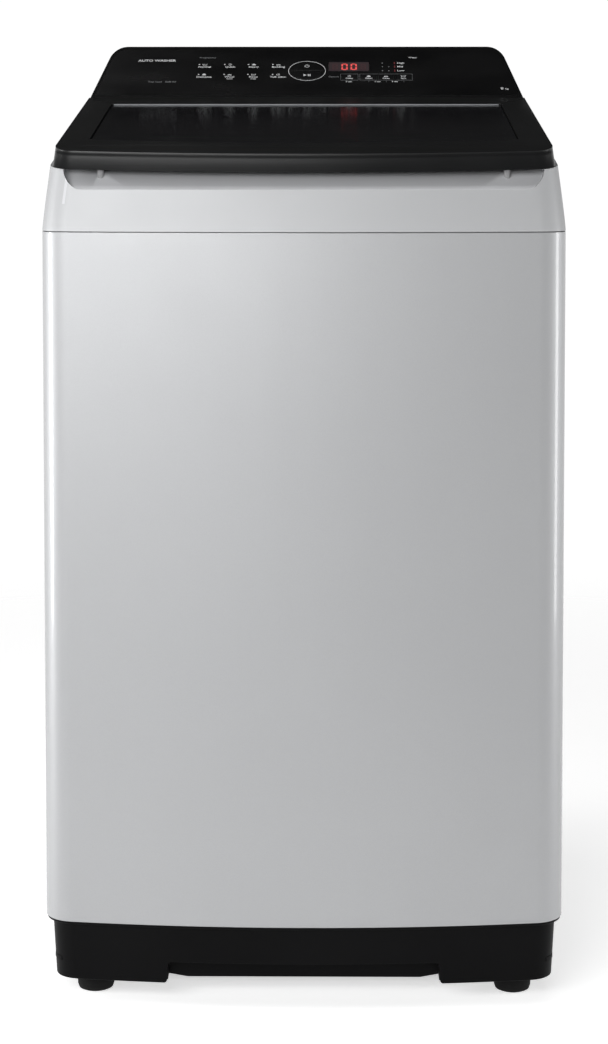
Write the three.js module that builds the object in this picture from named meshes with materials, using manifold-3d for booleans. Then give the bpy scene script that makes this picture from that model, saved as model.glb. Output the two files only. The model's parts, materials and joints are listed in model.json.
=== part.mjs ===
// A top-load washing machine with a sloping glass lid and a raised rear console, in millimetres.
// +Z is up, the front faces -Y, and the origin is on the floor under the middle of the cabinet.
import * as THREE from "three";
import { mergeVertices } from "three/addons/utils/BufferGeometryUtils.js";
import Module from "manifold-3d";

// ---------------------------------------------------------------- driving dimensions
const WIDTH = 540; // across the cabinet's sides
const DEPTH = 568; // from the middle of the bowed front to the back
const HEIGHT = 1008; // floor to the top of the console
const FRONT_BOW = 22; // how far the middle of the front stands proud of its sides
const FRONT_R = 34; // the cabinet's two front corners
const BACK_R = 10;
const SHEET = 0.8; // steel of the cabinet
const PLASTIC = 2.5; // mouldings
const GAP = 0.4; // between pieces that touch
const BASE_Z = 22; // underside of the base
const CABINET_Z = 86; // lower edge of the steel
const SEAM_Z = 802; // joint between the steel and the top cover
const LID_TILT = THREE.MathUtils.degToRad(9);
const LID_REAR_Y = 121;
const LID_REAR_Z = 947; // top of the lid at its rear edge
const LID_SKIRT = 21.8; // height of the lid's edge
const COVER_DROP = 22.4; // the top cover's sloping face lies this far under the lid's top
const CONSOLE_Y = 124; // front foot of the console
const CONSOLE_TILT = THREE.MathUtils.degToRad(32.7);
const CONSOLE_SLOPE = 113; // length of the control face
const CONSOLE_CORNER_R = 22; // upper corners of the console, seen from the front
const TUB_R = 236;
const TUB_Z = 228; // underside of the tub's floor
const TUB_TOP_Z = 735;
const BASKET_R = 212;
const PULSATOR_R = 168;
const PULLEY_R = 75;
const MOTOR_PULLEY_R = 18;
const BELT_Z = 112;
const MOTOR_Y = 150; // the motor stands behind the main shaft
const ROD = { x: 222, y: 224, r: 4 }; // the four suspension rods
const FOOT = { x: 220, frontY: -216, backY: 232, r: 19.5 };

const halfW = WIDTH / 2;
const frontY = -DEPTH / 2;
const backY = DEPTH / 2;
const lidPlaneZ = (y) => LID_REAR_Z - (LID_REAR_Y - y) * Math.tan(LID_TILT);
const coverPlaneZ = (y) => lidPlaneZ(y) - COVER_DROP;

// ---------------------------------------------------------------- materials
const finish = (color, roughness, metalness = 0) =>
  new THREE.MeshStandardMaterial({ color, roughness, metalness });
const silverPaint = finish(0xb9bbbd, 0.35, 0.4);
const silverPlastic = finish(0xc2c4c6, 0.4);
const blackGloss = finish(0x121315, 0.15);
const blackPlastic = finish(0x17181a, 0.5);
const smokedGlass = finish(0x101112, 0.05);
const whitePlastic = finish(0xe6e7e8, 0.45);
const greyPlastic = finish(0x8d9194, 0.5);
const stainless = finish(0xc9cbcd, 0.25, 1);
const galvanised = finish(0xa4a8ab, 0.45, 0.9);
const springSteel = finish(0x5a5d60, 0.4, 1);
const rubber = finish(0x1b1b1c, 0.85);
const boardGreen = finish(0x1f5a3a, 0.6);

// ---------------------------------------------------------------- solids from three.js geometry
const wasm = await Module();
wasm.setup();

// A closed geometry as a solid that can be cut and joined.
function solid(geometry) {
  const plain = geometry.index ? geometry.toNonIndexed() : geometry.clone();
  plain.deleteAttribute("normal");
  plain.deleteAttribute("uv");
  const merged = mergeVertices(plain, 1e-3);
  return new wasm.Manifold(
    new wasm.Mesh({
      numProp: 3,
      vertProperties: merged.attributes.position.array,
      triVerts: new Uint32Array(merged.index.array),
    }),
  );
}

// A solid as a geometry.
function geometryOf(body) {
  const mesh = body.getMesh();
  return new THREE.BufferGeometry()
    .setAttribute("position", new THREE.BufferAttribute(new Float32Array(mesh.vertProperties), 3))
    .setIndex(new THREE.BufferAttribute(new Uint32Array(mesh.triVerts), 1));
}

// A box from its lowest to its highest corner.
function box(low, high) {
  const size = high.map((value, i) => value - low[i]);
  return new THREE.BoxGeometry(...size).translate(...low.map((value, i) => value + size[i] / 2));
}

// A solid of revolution about +Z from [radius, height] points listed upwards along the outside.
function lathe(points, segments = 24) {
  const profile = points.map(([r, z]) => new THREE.Vector2(r, z));
  return new THREE.LatheGeometry(profile, segments).rotateX(Math.PI / 2);
}

// A ring or tube about +Z: outer and inner radius, lowest and highest height.
function tube(outer, inner, low, high, segments = 24) {
  return lathe([[inner, low], [outer, low], [outer, high], [inner, high], [inner, low]], segments);
}

// A round bar about +Z.
function bar(r, low, high, segments = 16) {
  return lathe([[0, low], [r, low], [r, high], [0, high]], segments);
}

// A flat outline raised from z = low to z = high, with optional holes.
function raise(points, low, high, holes = [], steps = 1) {
  const shape = new THREE.Shape(points);
  shape.holes = holes.map((hole) => new THREE.Path(hole));
  const options = { depth: high - low, steps, bevelEnabled: false };
  return new THREE.ExtrudeGeometry(shape, options).translate(0, 0, low);
}

// Points of an arc about (cx, cy), angles in degrees.
function arc(cx, cy, r, from, to, steps) {
  return Array.from({ length: steps + 1 }, (_, i) => {
    const a = THREE.MathUtils.degToRad(from + ((to - from) * i) / steps);
    return new THREE.Vector2(cx + r * Math.cos(a), cy + r * Math.sin(a));
  });
}

// A rectangle with round corners, from (x0, y0) to (x1, y1).
function roundRect(x0, y0, x1, y1, r, steps = 3) {
  return [
    ...arc(x1 - r, y0 + r, r, -90, 0, steps),
    ...arc(x1 - r, y1 - r, r, 0, 90, steps),
    ...arc(x0 + r, y1 - r, r, 90, 180, steps),
    ...arc(x0 + r, y0 + r, r, 180, 270, steps),
  ];
}

// A rectangle with round corners whose front edge (low y) is bowed out by `bow` in the middle.
function bowedRect(half, front, back, bow, frontR, backR, cornerSteps = 5, bowSteps = 10) {
  const lean = THREE.MathUtils.radToDeg(Math.atan((2 * bow * (half - frontR)) / half ** 2));
  const joinX = half - frontR + frontR * Math.sin(THREE.MathUtils.degToRad(lean));
  const bowY = (x) => front + bow * (x / half) ** 2;
  const centreY = bowY(joinX) + frontR * Math.cos(THREE.MathUtils.degToRad(lean));
  const middle = Array.from({ length: bowSteps - 1 }, (_, i) => {
    const x = -joinX + (2 * joinX * (i + 1)) / bowSteps;
    return new THREE.Vector2(x, bowY(x));
  });
  return [
    ...arc(-(half - frontR), centreY, frontR, 180, 270 - lean, cornerSteps),
    ...middle,
    ...arc(half - frontR, centreY, frontR, 270 + lean, 360, cornerSteps),
    ...arc(half - backR, back - backR, backR, 0, 90, 2),
    ...arc(-(half - backR), back - backR, backR, 90, 180, 2),
  ];
}

// The cabinet's plan, drawn in by `inset`.
function plan(inset) {
  return bowedRect(
    halfW - inset, frontY + inset, backY - inset, FRONT_BOW,
    FRONT_R - inset, Math.max(BACK_R - inset, 2),
  );
}

// Moves every vertex by a function of its position.
function warp(geometry, move) {
  const position = geometry.attributes.position;
  const v = new THREE.Vector3();
  for (let i = 0; i < position.count; i++) {
    move(v.fromBufferAttribute(position, i));
    position.setXYZ(i, v.x, v.y, v.z);
  }
  return geometry;
}

// ---------------------------------------------------------------- scene graph
const washer = new THREE.Group();

// Adds a named mesh to a group.
function add(parent, name, geometry, material) {
  const mesh = new THREE.Mesh(geometry, material);
  mesh.name = name;
  parent.add(mesh);
  return mesh;
}

const corners = [
  { tag: "front_left", sx: -1, sy: -1 },
  { tag: "front_right", sx: 1, sy: -1 },
  { tag: "rear_left", sx: -1, sy: 1 },
  { tag: "rear_right", sx: 1, sy: 1 },
];

// ---------------------------------------------------------------- cabinet
const REAR_OPENING = { half: 190, low: 190, high: 690 }; // service opening in the back
const BRACKET_Z = 776; // gussets that carry the suspension rods
const PORT = { coldX: 150, hotX: 195, z: 880 }; // water inlets in the back of the top cover
const INLET_WINDOW = { x0: 127, x1: 218, z0: 857, z1: 903 };
const DRAIN = { x: -150, z: 150 }; // drain outlet low in the back

// Steel wrap with a service opening, a drain hole and four gussets in its top corners.
function cabinetShell() {
  let body = solid(raise(plan(0), CABINET_Z, SEAM_Z - 0.5, [plan(SHEET).reverse()]));
  const { half, low, high } = REAR_OPENING;
  const service = roundRect(-half, low, half, high, 20, 2);
  body = body.subtract(solid(raise(service, 0, 20).rotateX(Math.PI / 2).translate(0, backY + 10, 0)));
  body = body.subtract(solid(bar(24, -10, 10).rotateX(Math.PI / 2).translate(DRAIN.x, backY, DRAIN.z)));
  for (const { sx, sy } of corners) {
    const gusset = box([0, 0, BRACKET_Z], [62, 62, BRACKET_Z + 3]);
    const flange = box([0, 0, BRACKET_Z - 22], [62, 2, BRACKET_Z + 3]);
    let bracket = solid(gusset).add(solid(flange.clone().translate(0, 60, 0)));
    bracket = bracket.subtract(solid(bar(7, BRACKET_Z - 5, BRACKET_Z + 8).translate(31, 31, 0)));
    const placed = geometryOf(bracket).translate(-31, -31, 0).scale(-sx, sy, 1);
    const fixed = sx * sy > 0 ? turnFaces(placed) : placed;
    body = body.add(solid(fixed.translate(sx * ROD.x, sy * ROD.y, 0)));
  }
  // A rail along each side joins the gussets to the steel.
  for (const side of [-1, 1]) {
    const rail = box([halfW - SHEET - 20, -222, BRACKET_Z], [halfW - 0.4, 262, BRACKET_Z + 3]);
    body = body.add(solid(side > 0 ? rail : mirrored(rail)));
  }
  return geometryOf(body);
}

// Turns every face round, which a mirrored geometry needs.
function turnFaces(geometry) {
  if (!geometry.index) geometry.setIndex([...Array(geometry.attributes.position.count).keys()]);
  const index = geometry.index.array;
  for (let i = 0; i < index.length; i += 3) [index[i + 1], index[i + 2]] = [index[i + 2], index[i + 1]];
  return geometry;
}

// Pressed steel panel that fills the service opening flush, with a lip behind and three sunken ribs.
function rearPanel() {
  const { half, low, high } = REAR_OPENING;
  const lip = roundRect(-half - 14, low - 14, half + 14, high + 14, 24, 3);
  const fill = roundRect(-half + 0.5, low + 0.5, half - 0.5, high - 0.5, 19.5, 2);
  let body = solid(raise(lip, 0, 1.2)).add(solid(raise(fill, 1, 2)));
  for (const x of [-110, 0, 110]) {
    const rib = (trim) =>
      roundRect(x - 28 + trim, low + 60 + trim, x + 28 - trim, high - 60 - trim, 27 - trim, 4);
    body = body.add(solid(raise(rib(0), -4, 0.5))).subtract(solid(raise(rib(1.2), -2.8, 5)));
  }
  return geometryOf(body).rotateX(Math.PI / 2).rotateZ(Math.PI).translate(0, backY - SHEET - GAP - 1.2, 0);
}

// Moulded black base: a skirt, a shoulder under the steel, four foot pads and a toe recess in front.
const NOTCH = { half: 139.5, top: 45, back: 28 };
const TOE_BAR = { flat: 121.5, end: 141.5, rise: 3.7, high: 24 }; // closes the back of the notch
const CHEEK = 3; // walls at the two ends of the notch
const PAD_Z = 40; // underside of the plates that hold the feet
const PAD = { halfX: 44, halfY: 34, thick: 4, bossR: 14, bossHigh: 20, holeR: 5.6 };
function baseFrame() {
  const wall = 3.5;
  const taper = (v) => {
    const k = 1 - (0.012 * (CABINET_Z - v.z)) / (CABINET_Z - BASE_Z);
    v.x *= k;
    v.y *= k;
  };
  const skirt = raise(plan(7), BASE_Z, CABINET_Z - 0.6, [plan(7 + wall).reverse()]);
  let body = solid(warp(skirt, taper));
  const shoulder = raise(plan(1.3), CABINET_Z - 3.6, CABINET_Z - 0.6, [plan(12).reverse()]);
  const upstand = raise(plan(1.3), CABINET_Z - 1, CABINET_Z + 18, [plan(4).reverse()]);
  body = body.add(solid(shoulder)).add(solid(upstand));
  for (const { sx, sy } of corners) {
    const y = sy < 0 ? FOOT.frontY : FOOT.backY;
    const pad = roundRect(-PAD.halfX, -PAD.halfY, PAD.halfX, PAD.halfY, 4, 1);
    const plate = raise(pad, PAD_Z, PAD_Z + PAD.thick).translate(sx * FOOT.x, y, 0);
    const boss = bar(PAD.bossR, PAD_Z, PAD_Z + PAD.bossHigh).translate(sx * FOOT.x, y, 0);
    const inside = solid(raise(plan(8), BASE_Z, CABINET_Z));
    body = body.add(solid(plate).add(solid(boss)).intersect(inside));
    body = body.subtract(solid(bar(PAD.holeR, 0, 120).translate(sx * FOOT.x, y, 0)));
  }
  const { half, top, back } = NOTCH;
  const cut = roundRect(-half, BASE_Z - 20, half, top, 6, 2);
  body = body.subtract(solid(raise(cut, 0, 40).rotateX(Math.PI / 2).translate(0, frontY + 42, 0)));
  const rear = frontY + back + 12;
  const shelf = box([-half - 2, frontY, top - 1], [half + 2, rear, top + 2]);
  const { flat, end, rise, high } = TOE_BAR;
  const barFront = [[-flat, 0], [flat, 0], [end, rise], [end, high], [-end, high], [-end, rise]];
  const toeBar = raise(barFront.map(([x, z]) => new THREE.Vector2(x, BASE_Z + z)), 0, 3);
  toeBar.rotateX(Math.PI / 2).translate(0, rear, 0);
  let lining = solid(shelf).add(solid(toeBar));
  for (const side of [-1, 1]) {
    const x = side * (end + CHEEK / 2 - 1);
    const cheek = box([x - CHEEK / 2, frontY, BASE_Z + rise], [x + CHEEK / 2, rear, top + 1]);
    lining = lining.add(solid(cheek));
  }
  body = body.add(lining.intersect(solid(raise(plan(11), BASE_Z, CABINET_Z))));
  return geometryOf(body);
}

add(washer, "cabinet_shell", cabinetShell(), silverPaint);
add(washer, "rear_panel", rearPanel(), galvanised);
add(washer, "base_frame", baseFrame(), blackPlastic);

// Levelling foot: a rubber-soled disc, a hexagon and a threaded stem.
function foot() {
  const { r } = FOOT;
  const disc = lathe([[0, 0], [r - 3.5, 0], [r, 3], [r, 18], [r - 3, 20], [0, 20]], 20);
  const hexagon = bar(11, 19, 30, 6);
  const stem = bar(5, 29, 78, 10);
  return geometryOf(solid(disc).add(solid(hexagon)).add(solid(stem)));
}
for (const { tag, sx, sy } of corners) {
  const y = sy < 0 ? FOOT.frontY : FOOT.backY;
  add(washer, `foot_${tag}`, foot(), rubber).position.set(sx * FOOT.x, y, 0);
}

// ---------------------------------------------------------------- top cover
const OPENING = { half: 205, front: -214, back: 96, r: 70 }; // the way in to the tub
const WELL_Z = 800; // lower edge of the skirt around the opening
const RECESS = { half: 250, r: 14, z: 843, inset: 4, slope: 40 }; // finger recess under the lid

// The lid turns on two pins through lugs on the cover; its rear edge is rolled round the same axis.
const HINGE = { y: 110, z: 934.3, roll: 11, lugIn: 214, lugOut: 226, lugR: 5.5, pinR: 3 };

// How far the cover's side is drawn in at share t of its height.
const coverInset = (t) => 8 * t ** 1.15;

// The cover as one block, drawn in by `inset` and ending `drop` under its sloping face.
function coverBlock(inset, low, drop) {
  const steps = 4;
  const block = raise(plan(inset), 0, 1, [], steps);
  return solid(
    warp(block, (v) => {
      const t = v.z;
      const draw = 1 - coverInset(t) / halfW;
      v.x *= draw;
      v.y *= draw;
      v.z = low + t * (coverPlaneZ(v.y) - drop - low);
    }),
  );
}

// The recess, `grow` larger all round: its back wall slants away and follows the bow of the front.
function recessCutter(grow) {
  const half = RECESS.half + grow;
  const low = RECESS.z - grow;
  const back = (x) => frontY + RECESS.inset + FRONT_BOW * (x / halfW) ** 2 + 1.4 * grow;
  const steps = 12;
  const edge = Array.from({ length: steps + 1 }, (_, i) => {
    const x = 265 - (530 * i) / steps;
    return new THREE.Vector2(x, back(x));
  });
  const front = [new THREE.Vector2(-265, frontY - 60), new THREE.Vector2(265, frontY - 60)];
  const lean = Math.tan(THREE.MathUtils.degToRad(RECESS.slope));
  const slab = warp(raise([...front, ...edge], low, low + 60), (v) => {
    v.y += (v.z - low) / lean;
  });
  const window = raise(roundRect(-half, low, half, low + 120, RECESS.r + grow, 4), 0, 200);
  return solid(slab).intersect(solid(window.rotateX(Math.PI / 2).translate(0, -150, 0)));
}

// The slice of space in front of y, which keeps the recess out of the rest of the cover.
const inFrontOf = (y) => solid(box([-400, -500, 700], [400, y, 1100]));

const BUMPER = { x: 208, y: -249.4, r: 3.4, stem: 1.8, top: 876.8 }; // rubber stops under the lid
const DRAWER = { x: -95, width: 120, depth: 96, low: 862, high: 900 }; // detergent drawer
const GLAND = { x: -190, r: 8.4, bore: 4 }; // strain relief for the mains lead

function topCover() {
  const skin = coverBlock(0, SEAM_Z + 0.8, 0).subtract(recessCutter(0).intersect(inFrontOf(-236)));
  const hollow = coverBlock(PLASTIC, SEAM_Z - 6, PLASTIC).subtract(
    recessCutter(PLASTIC).intersect(inFrontOf(-233)),
  );
  const { half, front, back, r } = OPENING;
  const outer = roundRect(-half - PLASTIC, front - PLASTIC, half + PLASTIC, back + PLASTIC, r + PLASTIC, 5);
  const inner = roundRect(-half, front, half, back, r, 5);
  const well = solid(raise(outer, WELL_Z, 1000)).intersect(coverBlock(0, WELL_Z, 0));
  let body = skin.subtract(hollow).add(well);
  body = body.subtract(solid(raise(inner, 700, 1100)));
  // Inlet ports, the mains lead and the drawer pass through the back walls.
  const { x0, x1, z0, z1 } = INLET_WINDOW;
  body = body.subtract(solid(box([x0, backY - 20, z0], [x1, backY + 10, z1])));
  const glandHole = bar(GLAND.r + 0.6, -30, 30).rotateX(Math.PI / 2);
  body = body.subtract(solid(glandHole.translate(GLAND.x, backY - 8, PORT.z)));
  const { x, width, low, high } = DRAWER;
  const mouth = box([x - width / 2 - 5, 60, low - 5], [x + width / 2 + 5, 130, high + 5]);
  body = body.subtract(solid(mouth));
  for (const side of [-1, 1]) {
    const [near, far] = side > 0 ? [HINGE.lugIn, HINGE.lugOut] : [-HINGE.lugOut, -HINGE.lugIn];
    const plate = box([near, -HINGE.lugR, -12], [far, HINGE.lugR, 0]);
    const eye = bar(HINGE.lugR, near, far, 16).rotateY(Math.PI / 2);
    const bore = bar(HINGE.pinR + 0.4, near - 5, far + 5, 16).rotateY(Math.PI / 2);
    const lug = solid(plate).add(solid(eye)).subtract(solid(bore));
    body = body.add(solid(geometryOf(lug).translate(0, HINGE.y, HINGE.z)));
  }
  for (const side of [-1, 1]) {
    const hole = bar(BUMPER.stem + 0.4, 820, 900, 8).translate(side * BUMPER.x, BUMPER.y, 0);
    body = body.subtract(solid(hole));
  }
  // Console cables and the water duct go up through the sloping face.
  body = body.subtract(solid(box([-150, 150, 900], [150, 225, 1000])));
  return geometryOf(body);
}

// Rubber stop that stands on the slanting wall of the finger recess, on a stem through the cover.
function lidBumper(side, cover) {
  const { x, y, r, stem, top } = BUMPER;
  const post = solid(bar(r, 850, top, 10).translate(side * x, y, 0));
  const above = post.subtract(cover).subtract(cover.translate(0, 0, GAP)).decompose();
  const cap = above.sort((a, b) => b.boundingBox().max[2] - a.boundingBox().max[2])[0];
  return geometryOf(cap.add(solid(bar(stem, 852, top - 1, 8).translate(side * x, y, 0))));
}
const coverGeometry = topCover();
add(washer, "top_cover", coverGeometry, silverPlastic);
for (const [tag, side] of [["left", -1], ["right", 1]]) {
  add(washer, `lid_bumper_${tag}`, lidBumper(side, solid(coverGeometry)), rubber);
}

// ---------------------------------------------------------------- console
const CONSOLE_BACK_Y = 272;
const SIDE_LEAN = THREE.MathUtils.degToRad(18.5);
const consoleTopY = CONSOLE_Y + CONSOLE_SLOPE * Math.cos(CONSOLE_TILT);
const consoleFrontZ = HEIGHT - 1.5 - CONSOLE_SLOPE * Math.sin(CONSOLE_TILT);

// The console's side view as (y, z) points, `inset` smaller all round.
function consoleProfile(inset, drop) {
  const s = Math.sin(CONSOLE_TILT);
  const c = Math.cos(CONSOLE_TILT);
  const onSlope = (d) => [CONSOLE_Y + d * c + inset * s, consoleFrontZ + d * s - inset * c];
  return [
    [CONSOLE_Y + inset, coverPlaneZ(CONSOLE_Y + inset) + GAP - drop],
    [CONSOLE_BACK_Y - inset, coverPlaneZ(CONSOLE_BACK_Y - inset) + GAP - drop],
    [238 - inset * 0.8, 1001 - inset * 0.5],
    [231 - inset * 0.5, HEIGHT - 2 - inset],
    [consoleTopY + 6, HEIGHT - inset],
    onSlope(CONSOLE_SLOPE),
    [CONSOLE_Y + inset, onSlope(0)[1] + (inset > 0 ? 1.2 : 0)],
  ].map(([y, z]) => new THREE.Vector2(y, z));
}

// The console's front view as (x, z) points: sides that lean in and round upper corners.
function consoleFront(inset, low, top) {
  const r = CONSOLE_CORNER_R - inset;
  const lean = Math.tan(SIDE_LEAN);
  const sideX = (z) => 257 - inset - (z - 938) * lean;
  const centreZ = top - r;
  const centreX = sideX(centreZ + r * Math.sin(SIDE_LEAN)) - r * Math.cos(SIDE_LEAN);
  const corner = arc(centreX, centreZ, r, THREE.MathUtils.radToDeg(SIDE_LEAN), 90, 6);
  const right = [new THREE.Vector2(sideX(low), low), ...corner];
  return [...right, ...right.map((p) => new THREE.Vector2(-p.x, p.y)).reverse()];
}

function consoleBlock(inset, drop) {
  const side = raise(consoleProfile(inset, drop), -260, 260).rotateY(Math.PI / 2).rotateX(Math.PI / 2);
  const front = raise(consoleFront(inset, 900, HEIGHT - inset), 0, 200);
  return solid(side).intersect(solid(front.rotateX(Math.PI / 2).translate(0, 300, 0)));
}

// The mirror image of a geometry in the plane x = 0.
function mirrored(geometry) {
  return turnFaces(geometry.clone().scale(-1, 1, 1));
}

// The control face's outline in its own plane: x across, y up the slope.
function faceOutline(inset) {
  const rise = Math.sin(CONSOLE_TILT);
  const top = HEIGHT - 1.5 - inset * rise;
  const points = consoleFront(inset, consoleFrontZ + inset * rise, top);
  return points.map((p) => new THREE.Vector2(p.x, (p.y - consoleFrontZ) / rise));
}
const FACE_INSET = 3.5;
const FACE_THICK = 2;
const onFace = (object) => {
  object.position.set(0, CONSOLE_Y, consoleFrontZ);
  object.rotation.x = CONSOLE_TILT;
  return object;
};
const face = onFace(new THREE.Group());
washer.add(face);
const faceMatrix = (geometry) =>
  geometry.rotateX(CONSOLE_TILT).translate(0, CONSOLE_Y, consoleFrontZ);

const KEY = { low: 38.4, high: 50.4, width: 19.2, first: 50.6, group: [73.7, 94.4, 115.1] };
const DIAL = { y: 58.8, r: 20 };
const DISPLAY = { x0: 25.5, x1: 75.5, y0: 56.5, y1: 82.5 };

function consoleHousing() {
  let body = consoleBlock(0, 0).subtract(consoleBlock(PLASTIC + 0.5, 14));
  body = body.subtract(solid(faceMatrix(raise(faceOutline(FACE_INSET - GAP), -FACE_THICK - GAP, 20))));
  // Windows behind the keys, the dial and the display.
  body = body.subtract(solid(faceMatrix(raise(roundRect(-26, 32, 132, 90, 4, 2), -20, 5))));
  return geometryOf(body);
}

// Half of the round control: the upper half is the power button and the lower half is start and pause.
function halfDisc(r, upper) {
  const split = 0.7;
  const a = THREE.MathUtils.radToDeg(Math.asin(split / r));
  const half = arc(0, 0, r, a, 180 - a, 12);
  return upper ? half : half.map((p) => new THREE.Vector2(-p.x, -p.y));
}
const keyCentres = [KEY.first, ...KEY.group];
const keyRect = (x, trim) =>
  roundRect(x - KEY.width / 2 + trim, KEY.low + trim, x + KEY.width / 2 - trim, KEY.high - trim, 1.5, 2);
const displayRect = (trim) =>
  roundRect(DISPLAY.x0 + trim, DISPLAY.y0 + trim, DISPLAY.x1 - trim, DISPLAY.y1 - trim, 2, 2);

function consoleFascia() {
  const dialHoles = [true, false].map((upper) =>
    halfDisc(DIAL.r, upper).map((p) => new THREE.Vector2(p.x, p.y + DIAL.y)),
  );
  const holes = [...keyCentres.map((x) => keyRect(x, 0)), displayRect(0), ...dialHoles];
  return raise(faceOutline(FACE_INSET), -FACE_THICK, 0, holes.map((hole) => [...hole].reverse()));
}

// A button's cap: its half of the disc, moved off the split and kept clear of the hole's curved side.
const BUTTON_DEPTH = 5;
function buttonCap(upper) {
  const r = DIAL.r - GAP;
  const shift = upper ? GAP : -GAP;
  return halfDisc(r - 0.05, upper).map((p) => {
    const away = new THREE.Vector2(p.x, p.y + shift);
    if (away.length() > r) away.setLength(r);
    return new THREE.Vector2(away.x, away.y + DIAL.y);
  });
}

add(washer, "console_housing", consoleHousing(), blackPlastic);
add(face, "console_fascia", consoleFascia(), blackGloss);
add(face, "display_window", raise(displayRect(0.4), -FACE_THICK, -0.1), smokedGlass);
for (const [name, upper] of [["power_button", true], ["start_button", false]]) {
  add(face, name, raise(buttonCap(upper), -BUTTON_DEPTH, 0), blackGloss);
}
keyCentres.forEach((x, i) => {
  add(face, `option_key_${i + 1}`, raise(keyRect(x, 0.4), -BUTTON_DEPTH, 0), blackGloss);
});

// Circuit board under the control face, with a display block and a row of switches.
function controlBoard() {
  let body = solid(box([-30, 26, -13.6], [136, 94, -12]));
  body = body.add(solid(box([27, 58, -12.2], [74, 81, -2.6])));
  for (const x of keyCentres) body = body.add(solid(box([x - 3, 41, -12.2], [x + 3, 47, -6.4])));
  for (const y of [DIAL.y - 10, DIAL.y + 10]) {
    body = body.add(solid(box([-3, y - 3, -12.2], [3, y + 3, -6.4])));
  }
  body = body.add(solid(box([-26, 30, -22], [10, 46, -13.4])));
  return geometryOf(body);
}
add(face, "control_board", controlBoard(), boardGreen);

// ---------------------------------------------------------------- water path
// Twin solenoid valve on a plate that backs the window in the cover, with two threaded inlets.
function inletValve() {
  const { coldX, hotX, z } = PORT;
  const { x0, x1, z0, z1 } = INLET_WINDOW;
  const faceY = backY - 24;
  let body = solid(box([x0 - 6, faceY - 3, z0 - 6], [x1 + 6, faceY, z1 + 6]));
  body = body.add(solid(box([coldX - 14, 232, z - 12], [hotX + 14, faceY - 2, z + 12])));
  for (const x of [coldX, hotX]) {
    const toBack = (g) => g.rotateX(-Math.PI / 2).translate(x, 0, z);
    body = body.add(solid(toBack(bar(13, faceY - 1, backY - 0.6, 20))));
    body = body.subtract(solid(toBack(bar(7.5, faceY - 6, backY + 2, 16))));
    body = body.add(solid(bar(14, 0, 26).rotateX(Math.PI / 2).translate(x, 236, z)));
  }
  return geometryOf(body);
}
add(washer, "inlet_valve", inletValve(), whitePlastic);

// Duct from the valve to the detergent case, behind the opening.
function waterDuct() {
  const path = new THREE.CatmullRomCurve3(
    [[118, 244, 880], [98, 240, 880], [60, 215, 882], [10, 190, 884], [-20, 186, 884], [-29, 186, 884]].map(
      (p) => new THREE.Vector3(...p),
    ),
  );
  const section = new THREE.Shape(arc(0, 0, 9, 0, 324, 9));
  return new THREE.ExtrudeGeometry(section, { extrudePath: path, steps: 14, bevelEnabled: false });
}
add(washer, "water_duct", waterDuct(), greyPlastic);

// Case that the detergent drawer slides in, open towards the front and under the drawer's mouth.
function detergentCase() {
  const { x, width, low, high } = DRAWER;
  const out = box([x - width / 2 - 4, 100, low - 4], [x + width / 2 + 4, 206, high + 4]);
  const space = box([x - width / 2 - 1, 60, low - 1], [x + width / 2 + 1, 202, high + 1]);
  return geometryOf(solid(out).subtract(solid(space)));
}
// Drawer with an open top and a front plate.
function detergentDrawer() {
  const { x, width, depth, low, high } = DRAWER;
  const start = 98;
  const out = box([x - width / 2, start, low], [x + width / 2, start + depth, high]);
  const half = width / 2 - 2;
  const space = box([x - half, start + 4, low + 2], [x + half, start + depth - 2, high + 9]);
  const rib = box([x - 1, start + 2, low + 1], [x + 1, start + depth - 1, high - 8]);
  const plate = box([x - width / 2 - 3, start - 3, low - 3], [x + width / 2 + 3, start + 0.5, high + 3]);
  const grip = box([x - 30, start - 8, high - 6], [x + 30, start - 2.5, high - 2]);
  return geometryOf(
    solid(out).subtract(solid(space)).add(solid(rib)).add(solid(plate)).add(solid(grip)),
  );
}
add(washer, "detergent_case", detergentCase(), greyPlastic);
add(washer, "detergent_drawer", detergentDrawer(), whitePlastic);

// Pressure switch that senses the water level, on the cabinet's side.
function levelSensor() {
  const body = solid(bar(26, 0, 18, 20)).add(solid(bar(14, 17, 26, 12)));
  return geometryOf(body.add(solid(box([-7, -38, 2], [7, -20, 14]))));
}
const sensor = add(washer, "level_sensor", levelSensor(), whitePlastic);
sensor.position.set(halfW - 34, 120, 838);
sensor.rotation.y = Math.PI / 2;

// Switch that senses the closed lid.
const lidSwitch = solid(box([212, 60, 884], [236, 96, 908]))
  .add(solid(box([220, 70, 907], [228, 86, 914])));
add(washer, "lid_switch", geometryOf(lidSwitch), whitePlastic);

// Strain relief with a bore for the mains lead.
const gland = solid(bar(GLAND.r, -12, 2.6))
  .add(solid(bar(GLAND.r + 3.6, -17, -10)))
  .subtract(solid(bar(GLAND.bore, -20, 40, 12)));
add(washer, "mains_gland", geometryOf(gland), blackPlastic)
  .geometry.rotateX(-Math.PI / 2).translate(GLAND.x, backY - 3, PORT.z);

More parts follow.
